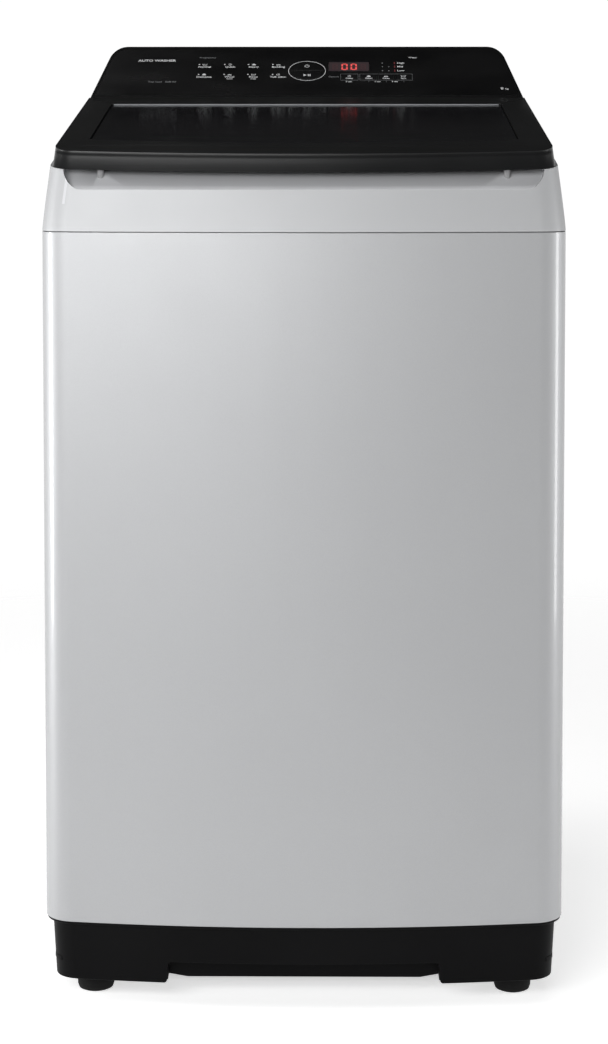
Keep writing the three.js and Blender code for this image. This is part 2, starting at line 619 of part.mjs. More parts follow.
// ---------------------------------------------------------------- suspension
const SPRING = { low: 262, high: 330, outer: 15, inner: 8 };
function suspensionRod() {
  const { r } = ROD;
  return lathe([
    [0, SPRING.low - 12], [13, SPRING.low - 12], [17, SPRING.low - 4], [17, SPRING.low - GAP],
    [r, SPRING.low - GAP], [r, BRACKET_Z + 3.6], [11, BRACKET_Z + 3.6], [9, BRACKET_Z + 10],
    [0, BRACKET_Z + 12],
  ], 12);
}
const spring = () => tube(SPRING.outer, SPRING.inner, SPRING.low, SPRING.high, 12);
const damperCup = () => lathe([
  [7, SPRING.high + 0.4], [19, SPRING.high + 0.4], [19, 344], [12, 350], [12, 372], [7, 372],
  [7, SPRING.high + 0.4],
], 12);
for (const { tag, sx, sy } of corners) {
  const place = (mesh) => mesh.position.set(sx * ROD.x, sy * ROD.y, 0);
  place(add(washer, `suspension_rod_${tag}`, suspensionRod(), galvanised));
  place(add(washer, `suspension_spring_${tag}`, spring(), springSteel));
  place(add(washer, `damper_cup_${tag}`, damperCup(), blackPlastic));
}

// ---------------------------------------------------------------- tub
const LUG = { low: 351.4, high: 357, end: 337 }; // arms that rest on the damper cups
const DRAIN_HOLE = { x: -95, y: 130, r: 20 };

// Bucket-shaped tub with an arm out to each damper cup.
function outerTub() {
  const t = 3;
  const bucket = lathe([
    [30, TUB_Z], [TUB_R - 26, TUB_Z], [TUB_R - 8, TUB_Z + 16], [TUB_R, TUB_TOP_Z], [TUB_R - t, TUB_TOP_Z],
    [TUB_R - 8 - t, TUB_Z + 18], [TUB_R - 28, TUB_Z + t], [30, TUB_Z + t], [30, TUB_Z],
  ], 40);
  let body = solid(bucket);
  for (const { sx, sy } of corners) {
    const arm = box([TUB_R - 12, -22, LUG.low], [LUG.end + 1, 22, LUG.high]);
    const web = box([TUB_R - 12, -3, LUG.low - 36.4], [282, 3, LUG.low + 0.6]);
    const angle = Math.atan2(sy * ROD.y, sx * ROD.x);
    const lug = solid(arm).add(solid(web));
    const keep = solid(bar(LUG.end, 200, 500, 24));
    const hole = solid(bar(12.6, 300, 400).translate(Math.hypot(ROD.x, ROD.y), 0, 0));
    body = body.add(solid(geometryOf(lug.intersect(keep).subtract(hole)).rotateZ(angle)));
  }
  const { x, y, r } = DRAIN_HOLE;
  return geometryOf(body.subtract(solid(bar(r - 6, 200, 260).translate(x, y, 0))));
}
add(washer, "outer_tub", outerTub(), whitePlastic);

// Ring that closes the gap between the tub and the basket's mouth.
add(washer, "tub_ring", lathe([
  [TUB_R + 4, TUB_TOP_Z - 12], [TUB_R + 4, TUB_TOP_Z + 4], [TUB_R - 6, TUB_TOP_Z + 10], [196, TUB_TOP_Z + 4],
  [190, TUB_TOP_Z - 8], [193, TUB_TOP_Z - 8], [198, TUB_TOP_Z + 1], [TUB_R - 6, TUB_TOP_Z + 7],
  [TUB_R + 0.6, TUB_TOP_Z + 1], [TUB_R + 0.6, TUB_TOP_Z - 12], [TUB_R + 4, TUB_TOP_Z - 12],
], 40), greyPlastic);

// Steel plate under the tub that carries the gear case and the motor.
function driveMount() {
  const shape = roundRect(-95, -70, 95, 215, 20, 2);
  let body = solid(raise(shape, TUB_Z - 8, TUB_Z - 5));
  body = body.subtract(solid(bar(26, 200, 240)));
  body = body.subtract(solid(box([-95.5, 100, 200], [-60, 160, 240])));
  body = body.subtract(solid(bar(14, 200, 240).translate(0, MOTOR_Y, 0)));
  for (const x of [-60, 60]) {
    body = body.add(solid(box([x - 8, -60, TUB_Z - 6], [x + 8, -44, TUB_Z - 0.4])));
    body = body.add(solid(box([x - 8, 60, TUB_Z - 6], [x + 8, 76, TUB_Z - 0.4])));
  }
  return geometryOf(body);
}
add(washer, "drive_mount", driveMount(), galvanised);

// Gear case and clutch under the middle of the tub.
add(washer, "gear_case", lathe([
  [14, 134], [44, 134], [52, 142], [52, 186], [66, 194], [66, TUB_Z - 8.4], [16, TUB_Z - 8.4], [14, 134],
], 28), galvanised);

// Motor with its shaft downwards.
function driveMotor() {
  const can = lathe([
    [7, 132], [30, 132], [56, 142], [58, 148], [58, 200], [54, 208], [7, 208], [7, 132],
  ], 28);
  let body = solid(can);
  for (const turn of [0, 1, 2, 3]) {
    const ear = box([50, -9, 196], [70, 9, TUB_Z - 8.4]).rotateZ(Math.PI / 4 + (turn * Math.PI) / 2);
    body = body.add(solid(ear));
  }
  return geometryOf(body.subtract(solid(bar(7, 100, 240)))).translate(0, MOTOR_Y, 0);
}
add(washer, "drive_motor", driveMotor(), galvanised);

// Drain valve under the tub's floor with a spigot to the back.
function drainValve() {
  const { x, y, r } = DRAIN_HOLE;
  let body = solid(tube(r, r - 6, 188, TUB_Z - 0.5, 16).translate(x, y, 0));
  body = body.add(solid(box([x - 24, y - 24, 172], [x + 24, y + 24, 192])));
  const elbow = new THREE.CatmullRomCurve3([
    new THREE.Vector3(x, y + 10, 178), new THREE.Vector3(x - 10, y + 45, 172),
    new THREE.Vector3(DRAIN.x, y + 80, DRAIN.z + 2), new THREE.Vector3(DRAIN.x, backY - 58, DRAIN.z),
    new THREE.Vector3(DRAIN.x, backY - 42, DRAIN.z),
  ]);
  const section = new THREE.Shape(arc(0, 0, 15, 0, 330, 11));
  const pipe = new THREE.ExtrudeGeometry(section, { extrudePath: elbow, steps: 10, bevelEnabled: false });
  body = body.add(solid(pipe));
  return geometryOf(body.subtract(
    solid(bar(11, 0, 60).rotateX(-Math.PI / 2).translate(DRAIN.x, backY - 66, DRAIN.z)),
  ));
}
add(washer, "drain_valve", drainValve(), blackPlastic);

// Flat belt round both pulleys.
function driveBelt() {
  const wrap = (grow) => {
    const R = PULLEY_R - 4 + grow;
    const r = MOTOR_PULLEY_R - 3 + grow;
    const a = THREE.MathUtils.radToDeg(Math.asin((R - r) / MOTOR_Y));
    return [...arc(0, 0, R, 180 - a, 360 + a, 20), ...arc(0, MOTOR_Y, r, a, 180 - a, 8)];
  };
  return raise(wrap(3), BELT_Z - 5, BELT_Z + 5, [wrap(0.5).reverse()]);
}
add(washer, "drive_belt", driveBelt(), rubber);

// ---------------------------------------------------------------- basket
const BASKET_Z = 262;
const BALANCE = { inner: 180, outer: 222, low: 660, high: 712 };
add(washer, "spin_basket", tube(BASKET_R, BASKET_R - 1.2, BASKET_Z + 24, BALANCE.low + 14, 48), stainless);
add(washer, "balance_ring", lathe([
  [BASKET_R + 0.5, BALANCE.low], [BALANCE.outer, BALANCE.low + 6], [BALANCE.outer, BALANCE.high - 6],
  [BALANCE.outer - 8, BALANCE.high], [BALANCE.inner + 8, BALANCE.high], [BALANCE.inner, BALANCE.high - 8],
  [BALANCE.inner, BALANCE.low + 10], [BASKET_R - 8, BALANCE.low - 12], [BASKET_R - 1.7, BALANCE.low - 12],
  [BASKET_R - 1.7, BALANCE.low + 14.5], [BASKET_R + 0.5, BALANCE.low + 14.5],
  [BASKET_R + 0.5, BALANCE.low],
], 48), whitePlastic);
add(washer, "basket_base", lathe([
  [13, BASKET_Z], [60, BASKET_Z], [BASKET_R - 20, BASKET_Z + 4], [BASKET_R + 3.5, BASKET_Z + 12],
  [BASKET_R + 3.5, BASKET_Z + 34], [BASKET_R + 0.5, BASKET_Z + 34], [BASKET_R + 0.5, BASKET_Z + 23.4],
  [BASKET_R - 22, BASKET_Z + 12], [60, BASKET_Z + 8], [13, BASKET_Z + 8], [13, BASKET_Z],
], 48), whitePlastic);
add(washer, "spin_shaft", tube(12.6, 8.6, TUB_Z - 8, BASKET_Z + 16, 16), stainless);
for (const [name, turn] of [["lint_filter_left", 0], ["lint_filter_right", Math.PI]]) {
  const caseShape = roundRect(-38, 400, 38, 560, 14, 3);
  const filter = raise(caseShape, -14, 0).rotateX(Math.PI / 2).rotateZ(Math.PI / 2);
  add(washer, name, filter.translate(-(BASKET_R - 21), 0, 0).rotateZ(turn), whitePlastic);
}

// ---------------------------------------------------------------- pulsator and its drive
const FIN_SECTION = [[-9, -8], [9, -8], [3, 14], [-3, 14]]; // across a fin, (sideways, up)

// Dished disc with a domed middle and six swept fins.
function pulsator() {
  const z = BASKET_Z + 22;
  let body = solid(lathe([
    [0, z], [PULSATOR_R, z], [PULSATOR_R + 4, z + 4], [PULSATOR_R, z + 9], [PULSATOR_R - 30, z + 6],
    [60, z + 9], [34, z + 20], [16, z + 28], [0, z + 30],
  ], 36));
  const across = new THREE.Shape(FIN_SECTION.map(([a, b]) => new THREE.Vector2(a, b)));
  for (let i = 0; i < 6; i++) {
    const fin = new THREE.QuadraticBezierCurve3(
      new THREE.Vector3(22, 0, z + 16), new THREE.Vector3(90, 26, z + 12), new THREE.Vector3(158, 0, z + 6),
    );
    const blade = new THREE.ExtrudeGeometry(across, { extrudePath: fin, steps: 5, bevelEnabled: false });
    body = body.add(solid(upright(blade, fin, 5, z).rotateZ((i * Math.PI) / 3)));
  }
  body = body.subtract(solid(bar(6.6, 0, z + 14)));
  return geometryOf(body.intersect(solid(bar(PULSATOR_R + 4, z, z + 60, 36))));
}

// Rebuilds an extrusion's rings so that its section stands upright along the curve.
function upright(blade, curve, steps, floor) {
  const ring = (t) => {
    const at = curve.getPointAt(t);
    const ahead = curve.getTangentAt(t);
    const side = new THREE.Vector2(-ahead.y, ahead.x).normalize();
    return FIN_SECTION.map(([a, b]) => [
      at.x + side.x * a, at.y + side.y * a, Math.max(at.z + b, floor + 1),
    ]);
  };
  const rings = Array.from({ length: steps + 1 }, (_, i) => ring(i / steps));
  const quads = [];
  for (let i = 0; i < steps; i++) {
    for (let k = 0; k < 4; k++) {
      const [a, b] = [rings[i][k], rings[i][(k + 1) % 4]];
      const [c, d] = [rings[i + 1][(k + 1) % 4], rings[i + 1][k]];
      quads.push(a, b, c, a, c, d);
    }
  }
  const [s, e] = [rings[0], rings[steps]];
  quads.push(s[0], s[2], s[1], s[0], s[3], s[2], e[0], e[1], e[2], e[0], e[2], e[3]);
  return new THREE.BufferGeometry().setAttribute(
    "position", new THREE.BufferAttribute(new Float32Array(quads.flat()), 3),
  );
}
add(washer, "pulsator", pulsator(), greyPlastic);
add(washer, "wash_shaft", bar(6, BELT_Z - 14, BASKET_Z + 35.5, 12), stainless);
// Pulleys with a groove for the belt.
const pulley = (r, hub, bore) => lathe([
  [bore, -8], [hub, -8], [hub, -7], [r, -7], [r - 4, -5.6], [r - 4, 5.6], [r, 7], [hub, 7],
  [hub, 12], [bore, 12], [bore, -8],
], 32);
add(washer, "drive_pulley", pulley(PULLEY_R, 18, 6.5), galvanised).position.z = BELT_Z;
const motorPulley = solid(lathe([
  [0, -9], [MOTOR_PULLEY_R, -9], [MOTOR_PULLEY_R, -7], [MOTOR_PULLEY_R - 3, -5.6], [MOTOR_PULLEY_R - 3, 5.6],
  [MOTOR_PULLEY_R, 7], [MOTOR_PULLEY_R, 10], [0, 10],
], 20)).add(solid(bar(6, 9, 92, 12)));
add(washer, "motor_pulley", geometryOf(motorPulley), stainless).position.set(0, MOTOR_Y, BELT_Z);

// ---------------------------------------------------------------- lid
// The lid's own frame: the origin is on the hinge axis, y runs up the slope and z is square to the lid.
const LID = { half: 255, front: -385, r: 26, flare: 7.5, sideRail: 31, frontRail: 46, rearRail: 66 };
const LID_PLATE = 9; // thickness of the frame over its hollow
const GLASS = { sunk: 2, thick: 4, seat: 12 };
const lid = new THREE.Group();
lid.position.set(0, HINGE.y, HINGE.z);
lid.rotation.x = LID_TILT;
washer.add(lid);

const lidOutline = (half, front, back, r) => bowedRect(half, front, back, FRONT_BOW, r, 6, 4, 10);

// The lid as a block whose edge flares outwards on its way down.
function lidBlock(inset, low, high) {
  const { half, front, r, flare } = LID;
  const rear = HINGE.roll - inset;
  const block = raise(lidOutline(half - inset, front + inset, rear, r), 0, 1, [], 2);
  return solid(
    warp(block, (v) => {
      const grow = flare * (1 - v.z) ** 1.5;
      v.x += Math.sign(v.x) * grow;
      if (v.y < front / 2) v.y -= grow;
      v.z = low + v.z * (high - low);
    }),
  );
}

function glassOutline(inset) {
  const { half, front, sideRail, frontRail, rearRail } = LID;
  const rear = HINGE.roll - rearRail - inset;
  return lidOutline(half - sideRail - inset, front + frontRail + inset, rear, 6);
}

// A round bar along the hinge axis from x0 to x1, in the lid's frame.
const alongHinge = (r, x0, x1, segments = 16) => bar(r, x0, x1, segments).rotateY(Math.PI / 2);

// Frame with a flared skirt, a rolled rear edge, a sunken seat for the glass and an open middle.
function lidFrame() {
  const top = HINGE.roll;
  const bottom = top - LID_SKIRT;
  let body = lidBlock(0, bottom, top).subtract(lidBlock(PLASTIC, bottom - 5, top - LID_PLATE));
  const kept = solid(box([-400, -500, -100], [400, 0, 100])).add(solid(alongHinge(top, -400, 400, 32)));
  body = body.intersect(kept);
  const seatZ = top - GLASS.sunk - GLASS.thick - 0.4;
  body = body.subtract(solid(raise(glassOutline(0), seatZ, top + 5)));
  body = body.subtract(solid(raise(glassOutline(GLASS.seat), bottom - 5, top + 5)));
  for (const side of [-1, 1]) {
    const [near, far] = side > 0 ? [HINGE.lugIn, HINGE.lugOut] : [-HINGE.lugOut, -HINGE.lugIn];
    const boss = box([near - 10, -HINGE.lugR, -HINGE.lugR], [far + 10, 6, top - 3]);
    const pocket = box([near - 1, -9, -30], [far + 1, top + 2, HINGE.lugR + 1.6]);
    const bore = alongHinge(HINGE.pinR + 0.4, near - 9, far + 9);
    body = body.add(solid(boss)).subtract(solid(pocket)).subtract(solid(bore));
  }
  return geometryOf(body);
}

add(lid, "lid_frame", lidFrame(), blackGloss);
const glassTop = HINGE.roll - GLASS.sunk;
add(lid, "lid_glass", raise(glassOutline(0.5), glassTop - GLASS.thick, glassTop), smokedGlass);
for (const [tag, side] of [["left", -1], ["right", 1]]) {
  const pin = alongHinge(HINGE.pinR, HINGE.lugIn - 8.5, HINGE.lugOut + 8.5, 12);
  if (side < 0) pin.rotateZ(Math.PI);
  add(lid, `lid_hinge_pin_${tag}`, pin, stainless);
}

export default washer;
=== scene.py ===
# A top-load washing machine: silver cabinet, black base, sloping smoked lid and a raised console.
import json
import math

import bmesh
import bpy
from mathutils import Matrix, Vector


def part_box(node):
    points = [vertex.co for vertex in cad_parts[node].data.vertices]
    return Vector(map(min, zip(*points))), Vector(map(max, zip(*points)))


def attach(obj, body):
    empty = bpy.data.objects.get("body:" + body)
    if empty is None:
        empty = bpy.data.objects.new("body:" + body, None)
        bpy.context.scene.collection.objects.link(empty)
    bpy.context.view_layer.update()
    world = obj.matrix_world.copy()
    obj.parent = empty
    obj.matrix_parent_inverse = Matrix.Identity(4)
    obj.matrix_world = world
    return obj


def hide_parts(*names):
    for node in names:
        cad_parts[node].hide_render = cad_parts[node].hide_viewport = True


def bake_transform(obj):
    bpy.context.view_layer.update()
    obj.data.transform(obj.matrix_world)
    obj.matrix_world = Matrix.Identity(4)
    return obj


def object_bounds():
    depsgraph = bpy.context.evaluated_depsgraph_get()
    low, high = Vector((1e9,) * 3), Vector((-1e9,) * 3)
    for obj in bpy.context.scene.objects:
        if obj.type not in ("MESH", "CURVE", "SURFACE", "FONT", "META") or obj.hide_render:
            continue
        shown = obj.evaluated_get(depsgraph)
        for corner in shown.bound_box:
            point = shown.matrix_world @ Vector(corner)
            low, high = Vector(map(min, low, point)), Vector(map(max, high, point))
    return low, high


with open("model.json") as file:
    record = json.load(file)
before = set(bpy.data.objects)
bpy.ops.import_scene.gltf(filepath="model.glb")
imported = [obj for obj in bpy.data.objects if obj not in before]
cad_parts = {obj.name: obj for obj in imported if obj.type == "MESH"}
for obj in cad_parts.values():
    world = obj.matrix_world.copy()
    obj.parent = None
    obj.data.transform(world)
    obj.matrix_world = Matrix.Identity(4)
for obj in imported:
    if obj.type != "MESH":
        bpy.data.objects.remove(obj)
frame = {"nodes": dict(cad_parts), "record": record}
cad_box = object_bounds()
MM = 0.001

BODY_OF = {}
for part_body, part_nodes in frame["record"]["behaviour"]["bodies"].items():
    for part_node in part_nodes:
        BODY_OF[part_node] = part_body
SLOT_OF = {s["node"]: s["material_slot"] for s in frame["record"]["subparts"]}

# ------------------------------------------------------------------ sizes of the design, in millimetres
lowest, highest = cad_box
HALF_W = highest.x / MM
FRONT_Y = lowest.y / MM
BACK_Y = highest.y / MM
HEIGHT = highest.z / MM
FRONT_BOW = 22
FRONT_R = 34
BACK_R = 10
SHEET = 0.8
PLASTIC = 2.5
GAP = 0.4
BASE_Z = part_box("base_frame")[0].z / MM
CABINET_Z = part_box("cabinet_shell")[0].z / MM
CABINET_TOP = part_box("cabinet_shell")[1].z / MM
SEAM_Z = CABINET_TOP + 0.5
LID_TILT = math.radians(9)
LID_REAR = (121, 947)
COVER_DROP = 22.4
LID_SKIRT = 21.8
HINGE_Y, HINGE_Z, ROLL = 110, 934.3, 11
CONSOLE_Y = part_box("console_housing")[0].y / MM
CONSOLE_BACK_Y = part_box("console_housing")[1].y / MM
CONSOLE_TILT = math.radians(32.7)
CONSOLE_SLOPE = 113
CONSOLE_FRONT_Z = HEIGHT - 1.5 - CONSOLE_SLOPE * math.sin(CONSOLE_TILT)
SIDE_LEAN = math.radians(18.5)
CONSOLE_R = 22
CONSOLE_HALF = 257
CONSOLE_SIDE_Z = 938
ROD_X, ROD_Y = 222, 224
FOOT_X, FOOT_FRONT_Y, FOOT_BACK_Y = 220, -216, 232
LUG_NEAR, LUG_FAR, LUG_R = 214, 226, 5.5
PIN_BORE_R = 3.4
DRAIN_X, DRAIN_Z, DRAIN_R = -150, 150, 24
INLET_Z = 880
MOTOR_Y = 150
BELT_Z, BIG_PULLEY_R, SMALL_PULLEY_R = 112, 71, 15
SCREW_R = 3.6
FLAT_ANGLE = math.radians(0.6)
SHARP_ANGLE = math.radians(34)
CORNERS = (("front_left", -1, -1), ("front_right", 1, -1), ("rear_left", -1, 1), ("rear_right", 1, 1))


def lid_plane(y):
    return LID_REAR[1] - (LID_REAR[0] - y) * math.tan(LID_TILT)


def cover_plane(y):
    return lid_plane(y) - COVER_DROP


# ------------------------------------------------------------------ material nodes
class Nodes:
    """A small builder for one material's node tree."""

    def __init__(self, name):
        self.mat = bpy.data.materials.new(name)
        self.mat.use_nodes = True
        self.tree = self.mat.node_tree
        self.shader = self.tree.nodes["Principled BSDF"]
        coords = self.tree.nodes.new("ShaderNodeTexCoord")
        self.object = coords.outputs["Object"]

    def add(self, kind, **values):
        node = self.tree.nodes.new(kind)
        for key, value in values.items():
            if key in node.inputs:
                node.inputs[key].default_value = value
            else:
                setattr(node, key, value)
        return node

    def link(self, a, b):
        self.tree.links.new(a, b)

    def scaled(self, scale):
        mapping = self.add("ShaderNodeMapping")
        mapping.inputs["Scale"].default_value = scale
        self.link(self.object, mapping.inputs["Vector"])
        return mapping.outputs["Vector"]

    def noise(self, scale, detail=3, stretch=(1, 1, 1)):
        node = self.add("ShaderNodeTexNoise", Scale=scale, Detail=detail, Roughness=0.5)
        self.link(self.scaled(stretch), node.inputs["Vector"])
        return node.outputs["Fac"]

    def voronoi(self, scale):
        node = self.add("ShaderNodeTexVoronoi", Scale=scale)
        self.link(self.object, node.inputs["Vector"])
        return node.outputs["Distance"]

    def ramp(self, value, stops):
        node = self.add("ShaderNodeValToRGB")
        elements = node.color_ramp.elements
        elements[0].position, elements[0].color = stops[0][0], (*stops[0][1], 1)
        elements[1].position, elements[1].color = stops[-1][0], (*stops[-1][1], 1)
        for position, colour in stops[1:-1]:
            elements.new(position).color = (*colour, 1)
        self.link(value, node.inputs["Fac"])
        return node.outputs["Color"]

    def span(self, value, low, high, start=0.0, end=1.0):
        node = self.add("ShaderNodeMapRange")
        node.inputs["From Min"].default_value = start
        node.inputs["From Max"].default_value = end
        node.inputs["To Min"].default_value = low
        node.inputs["To Max"].default_value = high
        self.link(value, node.inputs["Value"])
        return node.outputs["Result"]

    def mix(self, factor, a, b, mode="MIX"):
        node = self.add("ShaderNodeMix", data_type="RGBA", blend_type=mode)
        for socket, value in ((node.inputs[0], factor), (node.inputs[6], a), (node.inputs[7], b)):
            if isinstance(value, (float, int)):
                socket.default_value = value
            elif isinstance(value, tuple):
                socket.default_value = (*value, 1)
            else:
                self.link(value, socket)
        return node.outputs[2]

    def bump(self, *layers):
        normal = None
        for height, distance, strength in layers:
            node = self.add("ShaderNodeBump", Strength=strength, Distance=distance)
            self.link(height, node.inputs["Height"])
            if normal:
                self.link(normal, node.inputs["Normal"])
            normal = node.outputs["Normal"]
        self.link(normal, self.shader.inputs["Normal"])

    def edge(self, width=0.0012):
        """1 on sharp edges, 0 on flats: the mask for the painted edge highlights."""
        bevel = self.add("ShaderNodeBevel", samples=4)
        bevel.inputs["Radius"].default_value = width
        geometry = self.add("ShaderNodeNewGeometry")
        dot = self.add("ShaderNodeVectorMath", operation="DOT_PRODUCT")
        self.link(bevel.outputs["Normal"], dot.inputs[0])
        self.link(geometry.outputs["Normal"], dot.inputs[1])
        return self.span(dot.outputs["Value"], 1.0, 0.0, 0.75, 0.99)

    def set(self, **values):
        for key, value in values.items():
            socket = self.shader.inputs[key.replace("_", " ")]
            if hasattr(value, "is_output"):
                self.link(value, socket)
            elif isinstance(value, tuple) and len(value) == 3:
                socket.default_value = (*value, 1)
            else:
                socket.default_value = value


def silver_paint():
    n = Nodes("silver_paint")
    cloud = n.noise(2.2, 2)
    flake = n.voronoi(2600)
    base = n.ramp(cloud, ((0.3, (0.358, 0.362, 0.370)), (0.7, (0.374, 0.378, 0.386))))
    sparkle = n.ramp(flake, ((0.0, (1.08, 1.08, 1.08)), (0.6, (0.95, 0.95, 0.95))))
    # Sharp edges are painted lighter: a painted edge highlight.
    painted_edge_highlight = n.mix(n.edge(0.0008), n.mix(1.0, base, sparkle, "MULTIPLY"), (0.42, 0.425, 0.435))
    n.set(Base_Color=painted_edge_highlight, Metallic=0.6, Roughness=n.span(n.noise(14, 3), 0.44, 0.52))
    n.set(Specular_IOR_Level=0.3, Coat_Weight=0.6, Coat_Roughness=0.1)
    n.bump((n.noise(900, 2), 0.00004, 0.12), (n.noise(60, 2), 0.0002, 0.03))
    return n.mat


def silver_plastic():
    n = Nodes("silver_plastic")
    cloud = n.noise(3, 2)
    base = n.ramp(cloud, ((0.3, (0.392, 0.397, 0.405)), (0.7, (0.408, 0.413, 0.421))))
    # Sharp edges are painted lighter: a painted edge highlight.
    n.set(Base_Color=n.mix(n.edge(0.0008), base, (0.43, 0.435, 0.44)), Metallic=0.25)
    n.set(Roughness=n.span(n.noise(20, 3), 0.46, 0.54), Specular_IOR_Level=0.35)
    n.bump((n.noise(1400, 2), 0.00004, 0.18))
    return n.mat


def moulded(name, dark, light, rough, grain=1500, depth=0.00006, strength=0.3, edge=None, gloss=0.5):
    """Moulded plastic with a fine grain, painted lighter on its sharp edges as a painted edge highlight."""
    n = Nodes(name)
    base = n.ramp(n.noise(6, 3), ((0.3, dark), (0.7, light)))
    # The edge colour is a painted edge highlight.
    edge_highlight_colour = edge or tuple(min(1.0, c * 1.5 + 0.01) for c in light)
    n.set(Base_Color=n.mix(n.edge(0.001), base, edge_highlight_colour))
    n.set(Roughness=n.span(n.noise(25, 3), rough - 0.05, rough + 0.05), Specular_IOR_Level=gloss)
    n.bump((n.noise(grain, 3), depth, strength), (n.noise(90, 2), 0.0002, 0.04))
    return n.mat


def black_gloss():
    n = Nodes("black_gloss")
    smear = n.noise(9, 4, (1, 2.5, 1))
    n.set(Base_Color=n.ramp(smear, ((0.3, (0.0018, 0.0018, 0.002)), (0.7, (0.0028, 0.0028, 0.003)))))
    n.set(Roughness=n.span(smear, 0.2, 0.28, 0.3, 0.7), Specular_IOR_Level=0.4)
    n.bump((n.noise(50, 2), 0.0001, 0.03))
    return n.mat


def lid_black():
    n = Nodes("lid_black")
    smear = n.noise(7, 4, (1, 2, 1))
    n.set(Base_Color=n.ramp(smear, ((0.3, (0.006, 0.0062, 0.0065)), (0.7, (0.0085, 0.0087, 0.009)))))
    n.set(Roughness=n.span(smear, 0.3, 0.38, 0.3, 0.7), Specular_IOR_Level=0.3)
    n.bump((n.noise(1300, 2), 0.00003, 0.12))
    return n.mat


def smoked_glass():
    n = Nodes("smoked_glass")
    dust = n.noise(40, 5)
    n.set(Base_Color=n.ramp(dust, ((0.35, (0.006, 0.006, 0.007)), (0.75, (0.010, 0.010, 0.011)))))
    n.set(Roughness=n.span(dust, 0.12, 0.17, 0.3, 0.8), Specular_IOR_Level=0.2)
    n.set(Alpha=0.93, IOR=1.5)
    n.bump((n.noise(12, 2), 0.0002, 0.02))
    return n.mat


def metal(name, dark, light, rough, stretch, scale=60):
    """Bare metal with a grain that runs across the axis that `stretch` scales most."""
    n = Nodes(name)
    grain = n.noise(scale, 5, stretch)
    base = n.ramp(grain, ((0.3, dark), (0.7, light)))
    # Sharp edges are painted lighter: a painted edge highlight.
    n.set(Base_Color=n.mix(n.edge(0.001), base, (0.8, 0.8, 0.8)), Metallic=1.0)
    n.set(Roughness=n.span(grain, rough - 0.07, rough + 0.07, 0.3, 0.7))
    n.bump((grain, 0.00005, 0.25))
    return n.mat


def galvanised():
    n = Nodes("galvanised")
    spangle = n.voronoi(70)
    tone = n.ramp(spangle, ((0.1, (0.44, 0.455, 0.465)), (0.6, (0.58, 0.59, 0.60))))
    stain = n.ramp(n.noise(8, 5), ((0.35, (0.80, 0.80, 0.80)), (0.65, (1.0, 1.0, 1.0))))
    n.set(Base_Color=n.mix(1.0, tone, stain, "MULTIPLY"), Metallic=0.85)
    n.set(Roughness=n.span(spangle, 0.34, 0.52, 0.1, 0.6))
    n.bump((spangle, 0.00006, 0.15), (n.noise(300, 3), 0.00004, 0.15))
    return n.mat


def circuit_board():
    n = Nodes("circuit_board")
    tracks = n.add("ShaderNodeTexBrick", Scale=180.0)
    n.link(n.object, tracks.inputs["Vector"])
    tracks.inputs["Color1"].default_value = (0.012, 0.10, 0.045, 1)
    tracks.inputs["Color2"].default_value = (0.016, 0.12, 0.05, 1)
    tracks.inputs["Mortar"].default_value = (0.03, 0.18, 0.08, 1)
    n.set(Base_Color=tracks.outputs["Color"], Roughness=n.span(n.noise(90, 2), 0.3, 0.45))
    n.bump((tracks.outputs["Fac"], 0.0001, 0.3))
    return n.mat


def printed(name, colour, strength=0.0):
    """Ink, or a lit segment where `strength` is over 0."""
    n = Nodes(name)
    tone = n.noise(700, 2)
    shade = tuple(c * 0.9 for c in colour)
    n.set(Base_Color=n.ramp(tone, ((0.3, shade), (0.7, colour))), Roughness=n.span(tone, 0.3, 0.5))
    if strength:
        n.set(Emission_Color=colour, Emission_Strength=strength)
    return n.mat


MATERIALS = {
    "silver_paint": silver_paint(),
    "silver_plastic": silver_plastic(),
    "black_plastic": moulded("black_plastic", (0.0028, 0.0028, 0.003), (0.004, 0.004, 0.0043), 0.45,
                             edge=(0.009, 0.009, 0.009), gloss=0.05),
    "black_gloss": black_gloss(),
    "lid_black": lid_black(),
    "smoked_glass": smoked_glass(),
    "white_plastic": moulded("white_plastic", (0.70, 0.71, 0.71), (0.76, 0.77, 0.77), 0.38, 900),
    "grey_plastic": moulded("grey_plastic", (0.30, 0.315, 0.33), (0.34, 0.355, 0.37), 0.42, 900),
    "stainless": metal("stainless", (0.52, 0.52, 0.53), (0.68, 0.68, 0.68), 0.24, (1, 1, 40)),
    "galvanised": galvanised(),
    "spring_steel": metal("spring_steel", (0.10, 0.10, 0.11), (0.2, 0.2, 0.21), 0.4, (1, 1, 4), 90),
    "rubber": moulded("rubber", (0.005, 0.005, 0.005), (0.008, 0.008, 0.008), 0.8, 700, 0.0001, 0.4,
                      gloss=0.15),
    "bumper_grey": moulded("bumper_grey", (0.21, 0.21, 0.215), (0.25, 0.25, 0.255), 0.7, 700, 0.0001,
                           gloss=0.2),
    # A lighter copy of the cover grey for the recess wall: painted light where the lid shades it.
    "recess_painted_light_grey": moulded("recess_painted_light_grey", (0.485, 0.49, 0.505), (0.53, 0.535, 0.55), 0.55, 900, gloss=0.3),
    "board_green": circuit_board(),
    "ink": printed("ink_white", (0.74, 0.75, 0.76)),
    "ink_dim": printed("ink_grey", (0.16, 0.165, 0.17)),
    "red_lit": printed("lit_red", (0.55, 0.06, 0.055), 0.9),
    "red_dim": printed("dim_red", (0.040, 0.012, 0.014), 0.3),
    "red_off": printed("off_red", (0.10, 0.008, 0.010), 0.3),
    "panel_glow": printed("display_panel", (0.018, 0.009, 0.011), 0.3),
    "lamp_grey": printed("lamp_grey", (0.24, 0.245, 0.25)),
    "cold_blue": moulded("cold_blue", (0.02, 0.07, 0.30), (0.03, 0.09, 0.36), 0.4, 900),
    "hot_red": moulded("hot_red", (0.36, 0.02, 0.02), (0.42, 0.03, 0.03), 0.4, 900),
}


# ------------------------------------------------------------------ mesh helpers, in millimetres
def in_scene(name, data):
    obj = bpy.data.objects.new(name, data)
    bpy.context.scene.collection.objects.link(obj)
    return obj


